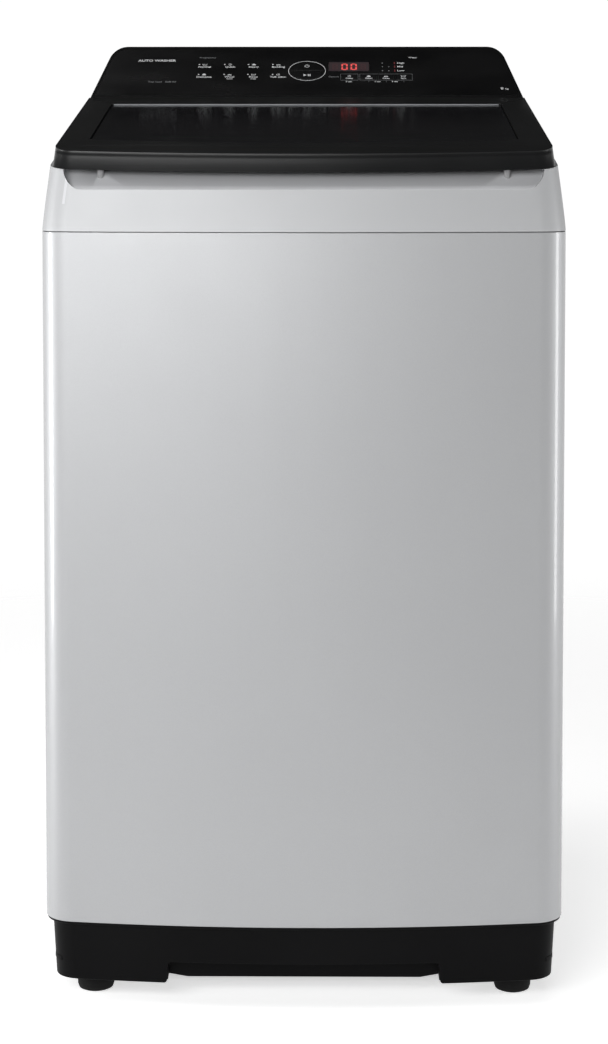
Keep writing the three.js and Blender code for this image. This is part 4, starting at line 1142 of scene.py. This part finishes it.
def segment_digit(target, x, v, height, lit):
    """A seven-segment digit; `lit` names the lit segments."""
    t = height * 0.13
    half_w, half = height * 0.52 / 2, height / 2
    gap = t * 0.5
    bars = {
        "a": (x - half_w + t, v + half - t, x + half_w - t, v + half),
        "d": (x - half_w + t, v - half, x + half_w - t, v - half + t),
        "g": (x - half_w + t, v - gap, x + half_w - t, v + gap),
        "f": (x - half_w, v + gap, x - half_w + t, v + half - gap),
        "b": (x + half_w - t, v + gap, x + half_w, v + half - gap),
        "e": (x - half_w, v - half + gap, x - half_w + t, v - gap),
        "c": (x + half_w - t, v - half + gap, x + half_w, v - gap),
    }
    for key in lit:
        target.rect(*bars[key], 0.2, PANEL_LIFT)


PROGRAM_ROWS = (70.5, 47.5)
DIGIT_V = 68.2
LEVELS = (("High", 76.8), ("Mid", 68.4), ("Low", 59.3))
LAMPS = ((90.5, 76.8), (90.5, 68.4), (90.5, 59.3), (98, 68.3), (98, 59))
KEY_WORDS = ("Delay", "Wash", "Rinse", "Spin")
KEY_FRAMES = ((KEY_XS[0] - 10.4, KEY_XS[0] + 10.4), (KEY_XS[1] - 10.6, KEY_XS[3] + 10.6))
KEY_FRAME_LOW, KEY_FRAME_HIGH = 37.2, 51.6
TITLES = (
    ("option_title", "Option", 31.8, 45.2, 4.2, "ink_dim"),
    ("program_title", "Programme", -120, 89.4, 4.2, "ink_dim"),
    ("level_title", "Water", 127.4, 89.5, 3.8),
    ("machine_kind", "AUTO WASHER", -181, 82.5, 6.4),
    ("machine_line", "Top load   Soft lid", -172.5, 33.7, 4.6, "ink_dim"),
    ("load_number", "8", 231.2, 18.6, 7.0),
    ("load_unit", "kg", 236.6, 17.8, 4.4),
)


def program_print(ink):
    for row, v in enumerate(PROGRAM_ROWS):
        for col, x in enumerate(PROGRAM_XS):
            program_icon(ink, col + 2 * row, x, v + 2.8)
            ink.disc(x - 6.6, v + 3.2, 0.95, steps=14)
            label(f"program_{row}_{col}", PROGRAMS[row][col], x, v - 2.6, 4.9)
    for x, words in zip(PROGRAM_XS[1:3], ("wool", "soak")):
        label(f"program_note_{words}", words, x, 40.6, 3.6)


def dial_print():
    power = Print("power_icon", "ink", "power_button")
    power.ring(0, 70.0, 2.9, 0.65, start=118, end=422, steps=36)
    power.rect(-0.33, 70.4, 0.33, 73.8)
    start = Print("start_icon", "ink", "start_button")
    low, middle, high = 46.7, 49.0, 51.3
    start.poly([(-4.2, low), (-0.6, middle), (-4.2, high)])
    for x in (1.0, 3.1):
        start.rect(x, low, x + 1.1, high)
    return power, start


def key_print():
    middle = (KEY_LOW + KEY_HIGH) / 2
    for i, x in enumerate(KEY_XS):
        key = Print(f"option_icon_{i + 1}", "ink", f"option_key_{i + 1}")
        program_icon(key, i + 1, x, middle + 2.1)
        key.place()
        label(f"option_word_{i + 1}", KEY_WORDS[i], x, KEY_LOW + 3.2, 3.8, node=f"option_key_{i + 1}")
    frames = Print("key_frames", "ink_dim", "console_fascia")
    low, high = KEY_FRAME_LOW, KEY_FRAME_HIGH
    for x0, x1 in KEY_FRAMES:
        frames.line([(x0, low), (x1, low), (x1, high), (x0, high), (x0, low)], 0.35)
    frames.place()


def face_print():
    ink = Print("fascia_print", "ink", "console_fascia")
    dim = Print("fascia_print_faint", "ink_dim", "console_fascia")
    panel = Print("display_panel", "panel_glow", "display_window", PANEL_LIFT)
    lit = Print("display_digits", "red_lit", "display_window")
    glow = Print("display_idle_digits", "red_dim", "display_window")
    led = Print("status_lamps", "lamp_grey", "console_fascia")
    bars = Print("level_bars", "red_off", "console_fascia")
    ink.ring(0, DIAL_V, DIAL_R + 2.4, 0.6, steps=96)
    program_print(ink)
    power, start = dial_print()
    panel.rect(26.0, 58.5, 74.5, 79.0, 1.5)
    for x in (45.0, 56.0):
        segment_digit(lit, x, DIGIT_V, 14.5, "abcdef")
    for x in (33.5, 67.5):
        segment_digit(glow, x, DIGIT_V, 12.5, "abcdefg")
    for x, v in LAMPS:
        led.disc(x, v, 0.8)
    for k, (words, v) in enumerate(LEVELS):
        bars.rect(104.4, v - 2.4, 105.8, v + 2.4)
        label(f"level_{k}", words, 108.0, v, 4.8, align="LEFT")
    key_print()
    for i, x in enumerate((50.0, 84.0, 104.6)):
        label(f"hold_word_{i + 1}", "3 sec", x, 34.2, 3.6)
    for x in (73.5, 94.5, 115.5):
        dim.line([(x, 32.6), (x, 35.8)], 0.3)
    for title in TITLES:
        label(*title)
    for item in (ink, dim, panel, lit, glow, led, bars, power, start):
        item.place()


# ------------------------------------------------------------------ washing parts
def perforated_basket():
    """A steel drum with rows of round drain holes."""
    low, high = (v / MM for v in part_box("spin_basket"))
    r, z0, z1 = high.x, low.z, high.z
    outside, inside = r - 0.1, r - 0.9
    cells_round, rows, hole_r = 96, 22, 2.1
    step_a, step_z = 2 * math.pi / cells_round, (z1 - z0) / rows
    corners = [2 * math.pi * k / 8 for k in range(8)]
    verts, faces, index = [], [], {}

    def vertex(a, z, radius):
        key = (round(a % (2 * math.pi), 6), round(z, 3), radius)
        if key not in index:
            index[key] = len(verts)
            verts.append((radius * math.cos(a), radius * math.sin(a), z))
        return index[key]

    def cell_edge(ca, cz, radius):
        points = []
        for a in corners:
            square = 1 / max(abs(math.cos(a)), abs(math.sin(a)))
            u, v = square * math.cos(a) / 2, square * math.sin(a) / 2
            points.append(vertex(ca + u * step_a, cz + v * step_z, radius))
        return points

    def hole_edge(ca, cz, radius):
        return [vertex(ca + hole_r * math.cos(a) / r, cz + hole_r * math.sin(a), radius) for a in corners]

    def band(one, two):
        for k in range(len(corners)):
            n = (k + 1) % len(corners)
            faces.append((one[k], one[n], two[n], two[k]))

    for skin in (outside, inside):
        for i in range(cells_round):
            for j in range(rows):
                ca, cz = (i + 0.5) * step_a, z0 + (j + 0.5) * step_z
                outer = cell_edge(ca, cz, skin)
                if not (1 < j < rows - 2 and (i + j) % 2 == 0):
                    faces.append(tuple(outer))
                    continue
                inner = hole_edge(ca, cz, skin)
                band(outer, inner)
                if skin == outside:
                    band(inner, hole_edge(ca, cz, inside))
    for z in (z0, z1):
        for i in range(2 * cells_round):
            a, b = i / 2 * step_a, (i / 2 + 0.5) * step_a
            ends = ((a, outside), (b, outside), (b, inside), (a, inside))
            faces.append(tuple(vertex(angle, z, radius) for angle, radius in ends))
    drum = mesh_object("basket_drum", verts, faces)
    shade_smooth(drum)
    settle(drum, "spin_basket")
    rib_r = r - 4
    for k in range(6):
        rib = prism(f"basket_rib_{k + 1}", round_rect(-9, -2.6, 9, 2.6, 2.5, 4), z0 + 12, z1 - 40)
        shift(rib, rib_r, 0, 0)
        warped(rib, lambda x, y, z: (rib_r + (x - rib_r) * 0.25, y * 2.2, z))
        settle(turn(soften(rib, 0.5), math.pi / 6 + k * math.pi / 3, "Z"), "spin_basket", stands_for=False)


def pulsator_fin(name, z):
    """A curved fin: its middle line is a quadratic curve from `near` past `bend` to `far`."""
    near, bend, far, sideways = 24, 90, 156, 26
    rings = []
    for k in range(17):
        t = k / 16
        x = (1 - t) ** 2 * near + 2 * t * (1 - t) * bend + t**2 * far
        y = 2 * t * (1 - t) * sideways
        dx = 2 * (1 - t) * (bend - near) + 2 * t * (far - bend)
        dy = 2 * (1 - 2 * t) * sideways
        size = math.hypot(dx, dy)
        nx, ny = -dy / size, dx / size
        crest = min((z + 27) * (1 - t) + (z + 12) * t + 5 * math.sin(math.pi * t), z + 28.5)
        ring = []
        for m in range(13):
            a = math.pi * m / 12
            across = 10 * math.cos(a) * (0.75 + 0.25 * math.sin(math.pi * t))
            ring.append((x + nx * across, y + ny * across, z + 2 + (crest - z - 2) * math.sin(a) ** 1.4))
        rings.append(ring)
    return loft(name, rings)


def dished_pulsator():
    low, high = (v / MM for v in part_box("pulsator"))
    z, r = low.z, high.x - 4
    bore_r, fins = 6.6, 6
    body = revolve("pulsator_piece", [
        (bore_r, z), (r, z), (r + 3.4, z + 2), (r + 4, z + 4.5), (r + 2, z + 8), (r - 4, z + 9),
        (r - 30, z + 6.4), (90, z + 7), (60, z + 9.4), (44, z + 14), (34, z + 20), (24, z + 25),
        (14, z + 27), (bore_r, z + 27.4),
    ], 120)
    for i in range(fins):
        body = join_solid(body, turn(pulsator_fin(f"fin_{i}", z), i * math.pi / 3, "Z"))
    for i in range(fins):
        a = math.radians(i * 60 + 38)
        for radius in (70, 92, 114, 136):
            drain = bar_z("drain", radius * math.cos(a), radius * math.sin(a), 2.4, z - 2, z + 30, 12)
            body = cut(body, drain)
    settle(soften(body, 0.9, 3, 38), "pulsator")
    cap = revolve("pulsator_cap", [
        (0.01, z + 27.5), (12.5, z + 27.5), (12.5, z + 28.6), (10, z + 29.6), (0.01, z + 30),
    ], 48)
    settle(soften(cap, 0.4), "pulsator", "stainless", stands_for=False)


def ring_pieces():
    low, high = (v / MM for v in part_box("balance_ring"))
    outer, z0, z1 = high.x, low.z, high.z
    inner, lip_r, groove_r = 180, 212.5, 210.2
    ring = revolve("balance_ring_piece", [
        (lip_r, z0 + 12), (outer - 1.5, z0 + 16), (outer, z0 + 20), (outer, z1 - 9), (outer - 3, z1 - 3),
        (outer - 8, z1), (inner + 8, z1), (inner + 2.5, z1 - 2.5), (inner, z1 - 8), (inner, z0 + 24),
        (inner + 3, z0 + 15), (204, z0), (groove_r, z0), (groove_r, z0 + 26.5), (lip_r, z0 + 26.5),
    ], 120)
    settle(soften(ring, 0.8, 3, 24), "balance_ring")
    screw_ring_r = 201
    for i in range(6):
        a = math.radians(30 + 60 * i)
        at = (screw_ring_r * math.cos(a), screw_ring_r * math.sin(a), z1 - 1.2)
        screw(f"ring_screw_{i + 1}", at, (0, 0, 1), "balance_ring")
    refine("tub_ring", 0.8, 2)
    refine("basket_base", 0.8, 2)


def lint_filters():
    half, low_z, high_z, bevel = 38, 400, 560, 3
    for node, angle in (("lint_filter_left", 0.0), ("lint_filter_right", math.pi)):
        low, high = (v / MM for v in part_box(node))
        reach = (high.x - low.x) / 2
        wide = round_rect(-half, low_z, half, high_z, 14)
        narrow = round_rect(bevel - half, low_z + bevel, half - bevel, high_z - bevel, 12)
        faces = ((-reach, wide), (reach - bevel, wide), (reach, narrow))
        case = loft(node + "_piece", [[(x, y, z) for y, z in outline] for x, outline in faces])
        for z in range(418, 530, 9):
            slot = round_rect(-26, z, 26, z + 4, 1.9, 4)
            case = cut(case, across_x("slot", slot, reach - bevel, reach + 5))
        case = shift(soften(case, 0.7, 2), -198, 0, 0)
        settle(turn(case, angle, "Z"), node)


# ------------------------------------------------------------------ suspension and drive
def coil_spring(name, node, x, y, z0, z1, radius, wire, turns):
    steps, wire_sides = int(turns * 28), 10
    rings = []
    for i in range(steps + 1):
        t = i / steps
        climbed = min(1.0, max(0.0, (t * turns - 1) / (turns - 2)))
        z = z0 + wire + climbed * (z1 - z0 - 2 * wire)
        a = 2 * math.pi * turns * t
        ring = []
        for k in range(wire_sides):
            b = 2 * math.pi * k / wire_sides
            r = radius + wire * math.cos(b)
            ring.append((r * math.cos(a), r * math.sin(a), z + wire * math.sin(b)))
        rings.append(ring)
    coil = shift(soften(loft(name, rings), 0), x, y, 0)
    slot = SLOT_OF[node]
    coil.data.materials.clear()
    coil.data.materials.append(MATERIALS[slot])
    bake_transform(coil)
    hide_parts(node)


def suspension():
    for tag, sx, sy in CORNERS:
        x, y = sx * ROD_X, sy * ROD_Y
        rod = revolve(f"suspension_rod_{tag}_piece", [
            (0.01, 250), (12, 250), (13, 250.8), (17, 258), (17, 261.0), (16.4, 261.6), (4, 261.6),
            (4, 779.6), (9, 779.6), (11, 781), (10.4, 785), (7, 787.4), (0.01, 788),
        ], 40)
        settle(shift(soften(rod, 0.3, 2), x, y, 0), f"suspension_rod_{tag}")
        coil_spring(f"suspension_coil_{tag}", f"suspension_spring_{tag}", x, y, 262, 330, 12.6, 1.9, 8)
        refine(f"damper_cup_{tag}", 0.7, 2)


def drive_parts():
    for node, width in (("drive_mount", 0.6), ("gear_case", 1.0), ("drain_valve", 0.8), ("drive_pulley", 0.5),
                        ("motor_pulley", 0.5), ("wash_shaft", 0.5), ("spin_shaft", 0.4)):
        refine(node, width, 2)
    motor = revolve("drive_motor_piece", [
        (7, 132), (28, 132), (33, 134), (52, 141), (56, 145), (58, 150), (58, 198), (56, 203), (52, 206.5),
        (46, 208), (7, 208),
    ], 96)
    vents, ears = 18, 4
    for k in range(vents):
        vent = across_x("vent", round_rect(-2.2, 158, 2.2, 190, 2.1, 4), 55.5, 62)
        motor = cut(motor, turn(vent, 2 * math.pi * k / vents, "Z"))
    pieces = [soften(motor, 0.7, 2)]
    for k in range(ears):
        ear = block("ear", (52, -9, 197), (69.5, 9, 219.2))
        pieces.append(turn(soften(ear, 1.2, 2), math.pi / 4 + k * math.pi / 2, "Z"))
    settle(shift(merge(*pieces), 0, MOTOR_Y, 0), "drive_motor")
    ribbed_belt()


def ribbed_belt():
    def path(grow):
        big, small = BIG_PULLEY_R + grow, SMALL_PULLEY_R + grow
        a = math.degrees(math.asin((big - small) / MOTOR_Y))
        return [*arc(0, 0, big, 180 - a, 360 + a, 60), *arc(0, MOTOR_Y, small, a, 180 - a, 24)]

    half_wide, back, crest, valley, ribs = 4.9, 2.9, 0.6, 1.5, 4
    pitch = 2 * half_wide / ribs
    profile = [(back, -half_wide), (back, half_wide)]
    for k in range(ribs, -1, -1):
        z = -half_wide + pitch * k
        profile.append((crest, z))
        if k:
            profile.append((valley, z - pitch / 2))
    rings = [[(x, y, BELT_Z + z) for x, y in path(grow)] for grow, z in profile]
    settle(soften(loft("drive_belt_piece", rings, closed=True), 0), "drive_belt")


def outer_tub():
    refine("outer_tub", 0.8, 2)
    for i in range(5):
        z = 420 + 62 * i
        profile = [(233.4, z), (236.6, z + 0.6), (236.6, z + 3.4), (233.4, z + 4)]
        hoop = revolve(f"tub_hoop_{i + 1}", profile, 96)
        settle(soften(hoop, 0.4), "outer_tub", stands_for=False)
    ribs = 12
    for i in range(ribs):
        a = 2 * math.pi * (i + 0.5) / ribs
        clear_of_motor = math.sin(a) <= 0.6
        if clear_of_motor:
            rib = block(f"tub_floor_rib_{i + 1}", (80, -1.3, 218.5), (214, 1.3, 228.6))
            settle(turn(soften(rib, 0.5), a, "Z"), "outer_tub", stands_for=False)


# ------------------------------------------------------------------ water path and small fittings
def facing_back(obj, x, depth):
    """Points a piece made along Z out of the back, `depth` in from the back wall."""
    return shift(turn(obj, -math.pi / 2, "X"), x, BACK_Y - depth, INLET_Z)


def fittings():
    for node, width in (("inlet_valve", 0.6), ("water_duct", 0.4), ("detergent_case", 0.6),
                        ("level_sensor", 0.7), ("lid_switch", 0.7), ("mains_gland", 0.5),
                        ("control_board", 0.2), ("lid_hinge_pin_left", 0.3), ("lid_hinge_pin_right", 0.3)):
        refine(node, width, 2)
    for side in ("left", "right"):
        refine(f"lid_bumper_{side}", 0.4, 2, "bumper_grey")
    for tag, x, colour in (("cold", 150, "cold_blue"), ("hot", 195, "hot_red")):
        thread = threaded(f"inlet_thread_{tag}", 13.9, 0.9, 0, 17, 1.8, 40)
        settle(facing_back(thread, x, 19), "inlet_valve", stands_for=False)
        mark = soften(revolve(f"inlet_mark_{tag}", [(13.4, 0), (17, 0), (17, 1.4), (13.4, 1.4)], 40), 0.3)
        settle(facing_back(mark, x, 23.8), "inlet_valve", colour, stands_for=False)
        screen = revolve(f"inlet_screen_{tag}", [(0.01, 0), (7.2, 0), (7.2, 0.8), (0.01, 0.8)], 32)
        settle(facing_back(screen, x, 26), "inlet_valve", "spring_steel", stands_for=False)
    drawer()


def drawer():
    low, high = (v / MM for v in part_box("detergent_drawer"))
    x0, x1 = -155, -35
    z0, z1 = low.z + 3, high.z - 3
    start, depth, wall = 98, 96, 2
    back = start + depth
    tray = block("detergent_drawer_piece", (x0, start, z0), (x1, back, z1))
    tray = cut(tray, block("space", (x0 + wall, start + 4, z0 + wall), (x1 - wall, back - wall, z1 + 9)))
    tray = join_solid(tray, block("divider", (-96, start + 2, z0 + 1), (-94, back - 1, z1 - 8)))
    face = round_rect(x0 - 3, z0 - 3, x1 + 3, z1 + 3, 4)
    tray = join_solid(tray, along_y("front", face, start + 0.5, start - 3))
    grip = loft("grip", [
        [(x, start - 2.5, z) for x, z in round_rect(-125, z1 - 7, -65, z1 - 1, 2.5)],
        [(x, start - 8, z) for x, z in round_rect(-123, z1 - 5, -67, z1 - 2, 1.4)],
    ])
    settle(soften(join_solid(tray, grip), 0.6, 3), "detergent_drawer")


# ------------------------------------------------------------------ small outside parts
def outside_details():
    for i, (x, z) in enumerate(((-250, 788), (250, 788), (-250, 100), (250, 100), (0, 790))):
        screw(f"cabinet_screw_{i + 1}", (x, BACK_Y - 2.7, z), (0, 1, 0), "cabinet_shell")


# ------------------------------------------------------------------ studio
CAMERA_LENS = 82.06
CAMERA_SHIFT = -0.235
CAMERA_AT = (0.0232, -2.687, 0.8975)
CAMERA_PITCH = 3.346
CAMERA_YAW = 0.537
FLOOR_R = 2.6
FLOOR_GLOW = 0.62
GLOW_STARTS, GLOW_FULL = 0.10, 0.20
SOFTBOXES = (
    ("key_left", (-0.88, -2.0, 1.18), (-0.05, -0.28, 0.8), 1.8, 0.75, 32),
    ("rim_left", (-2.24, -0.2, 0.6), (-0.27, -0.25, 0.6), 0.45, 1.2, 22),
    ("rim_right", (2.24, -0.2, 0.6), (0.27, -0.25, 0.6), 0.45, 1.2, 11),
    ("top_left_glow", (-1.3, 1.0, 2.9), (0, 0.1, 0.95), 1.6, 1.0, 5.0),
    ("floor_wash", (0, -0.2, 3.4), (0, 0, 0), 2.4, 1.0, 30),
)


def shadow_mask_under_machine(n):
    """The larger of |x| and |y|: small under the machine, where the floor doesn't glow, which paints a shadow
    under it.
    """
    size = n.add("ShaderNodeVectorMath", operation="ABSOLUTE")
    n.link(n.object, size.inputs[0])
    split = n.add("ShaderNodeSeparateXYZ")
    n.link(size.outputs["Vector"], split.inputs["Vector"])
    larger = n.add("ShaderNodeMath", operation="MAXIMUM")
    n.link(split.outputs["X"], larger.inputs[0])
    n.link(split.outputs["Y"], larger.inputs[1])
    return larger.outputs["Value"]


def studio_floor():
    """A pale disc that fades out into the white surround at its rim, with a painted shadow under the machine
    where it doesn't glow.
    """
    steps, rings = 96, (0.4, 0.8, 1.3, 1.9, FLOOR_R)
    verts = [(0, 0, 0)]
    faces = []
    for r in rings:
        for k in range(steps):
            a = 2 * math.pi * k / steps
            verts.append((r * math.cos(a), r * math.sin(a), 0))
    for k in range(steps):
        n = (k + 1) % steps
        faces.append((0, 1 + k, 1 + n))
        for i in range(len(rings) - 1):
            base = 1 + i * steps
            faces.append((base + k, base + steps + k, base + steps + n, base + n))
    mesh = bpy.data.meshes.new("studio_floor")
    mesh.from_pydata(verts, [], faces)
    floor = in_scene("studio_floor", mesh)
    n = Nodes("studio_floor")
    n.set(Base_Color=n.ramp(n.noise(2.0, 3), ((0.3, (0.90, 0.90, 0.90)), (0.7, (0.93, 0.93, 0.93)))))
    n.set(Roughness=n.span(n.noise(30, 2), 0.6, 0.75), Specular_IOR_Level=0.1)
    far = n.add("ShaderNodeVectorMath", operation="LENGTH")
    n.link(n.object, far.inputs[0])
    n.set(Emission_Color=(1, 1, 1))
    # The glow is left out under the machine: a painted shadow.
    n.set(Emission_Strength=n.span(shadow_mask_under_machine(n), 0.0, FLOOR_GLOW, GLOW_STARTS, GLOW_FULL))
    n.set(Alpha=n.span(far.outputs["Value"], 1.0, 0.0, FLOOR_R * 0.25, FLOOR_R * 0.95))
    n.bump((n.noise(200, 2), 0.0002, 0.05))
    mesh.materials.append(n.mat)


def surround():
    """A white horizon under a dim ceiling, all round."""
    world = bpy.data.worlds.new("studio")
    bpy.context.scene.world = world
    world.use_nodes = True
    tree = world.node_tree
    direction = tree.nodes.new("ShaderNodeTexCoord")
    split = tree.nodes.new("ShaderNodeSeparateXYZ")
    tone = tree.nodes.new("ShaderNodeValToRGB")
    tree.links.new(direction.outputs["Generated"], split.inputs["Vector"])
    tree.links.new(split.outputs["Z"], tone.inputs["Fac"])
    stops = tone.color_ramp.elements
    stops[0].position, stops[0].color = 0.0, (1, 1, 1, 1)
    stops[1].position, stops[1].color = 1.0, (0.015, 0.015, 0.015, 1)
    for position, grey in ((0.09, 1.0), (0.2, 0.02)):
        stops.new(position).color = (grey, grey, grey, 1)
    sky = tree.nodes["Background"]
    tree.links.new(tone.outputs["Color"], sky.inputs["Color"])
    sky.inputs["Strength"].default_value = 1.03


def softbox(name, at, look, width, height, power):
    light = bpy.data.lights.new(name, "AREA")
    light.energy = power
    light.shape = "RECTANGLE"
    light.size, light.size_y = width, height
    obj = in_scene(name, light)
    obj.location = at
    obj.rotation_mode = "QUATERNION"
    obj.rotation_quaternion = (Vector(look) - Vector(at)).to_track_quat("-Z", "Y")


def studio():
    studio_floor()
    surround()
    for light in SOFTBOXES:
        softbox(*light)


def camera():
    data = bpy.data.cameras.new("camera")
    data.sensor_width = 36
    data.lens = CAMERA_LENS
    data.shift_y = CAMERA_SHIFT
    obj = in_scene("camera", data)
    obj.location = CAMERA_AT
    obj.rotation_euler = (math.radians(90 - CAMERA_PITCH), 0, math.radians(CAMERA_YAW))
    bpy.context.scene.camera = obj


# ------------------------------------------------------------------ build
camera()
studio()
bpy.context.scene.view_settings.view_transform = "Standard"
steel_cabinet()
service_panel()
moulded_base()
levelling_feet()
top_cover()
lid_frame()
lid_glass()
console_housing()
fascia()
face_print()
perforated_basket()
dished_pulsator()
ring_pieces()
lint_filters()
outer_tub()
suspension()
drive_parts()
fittings()
outside_details()
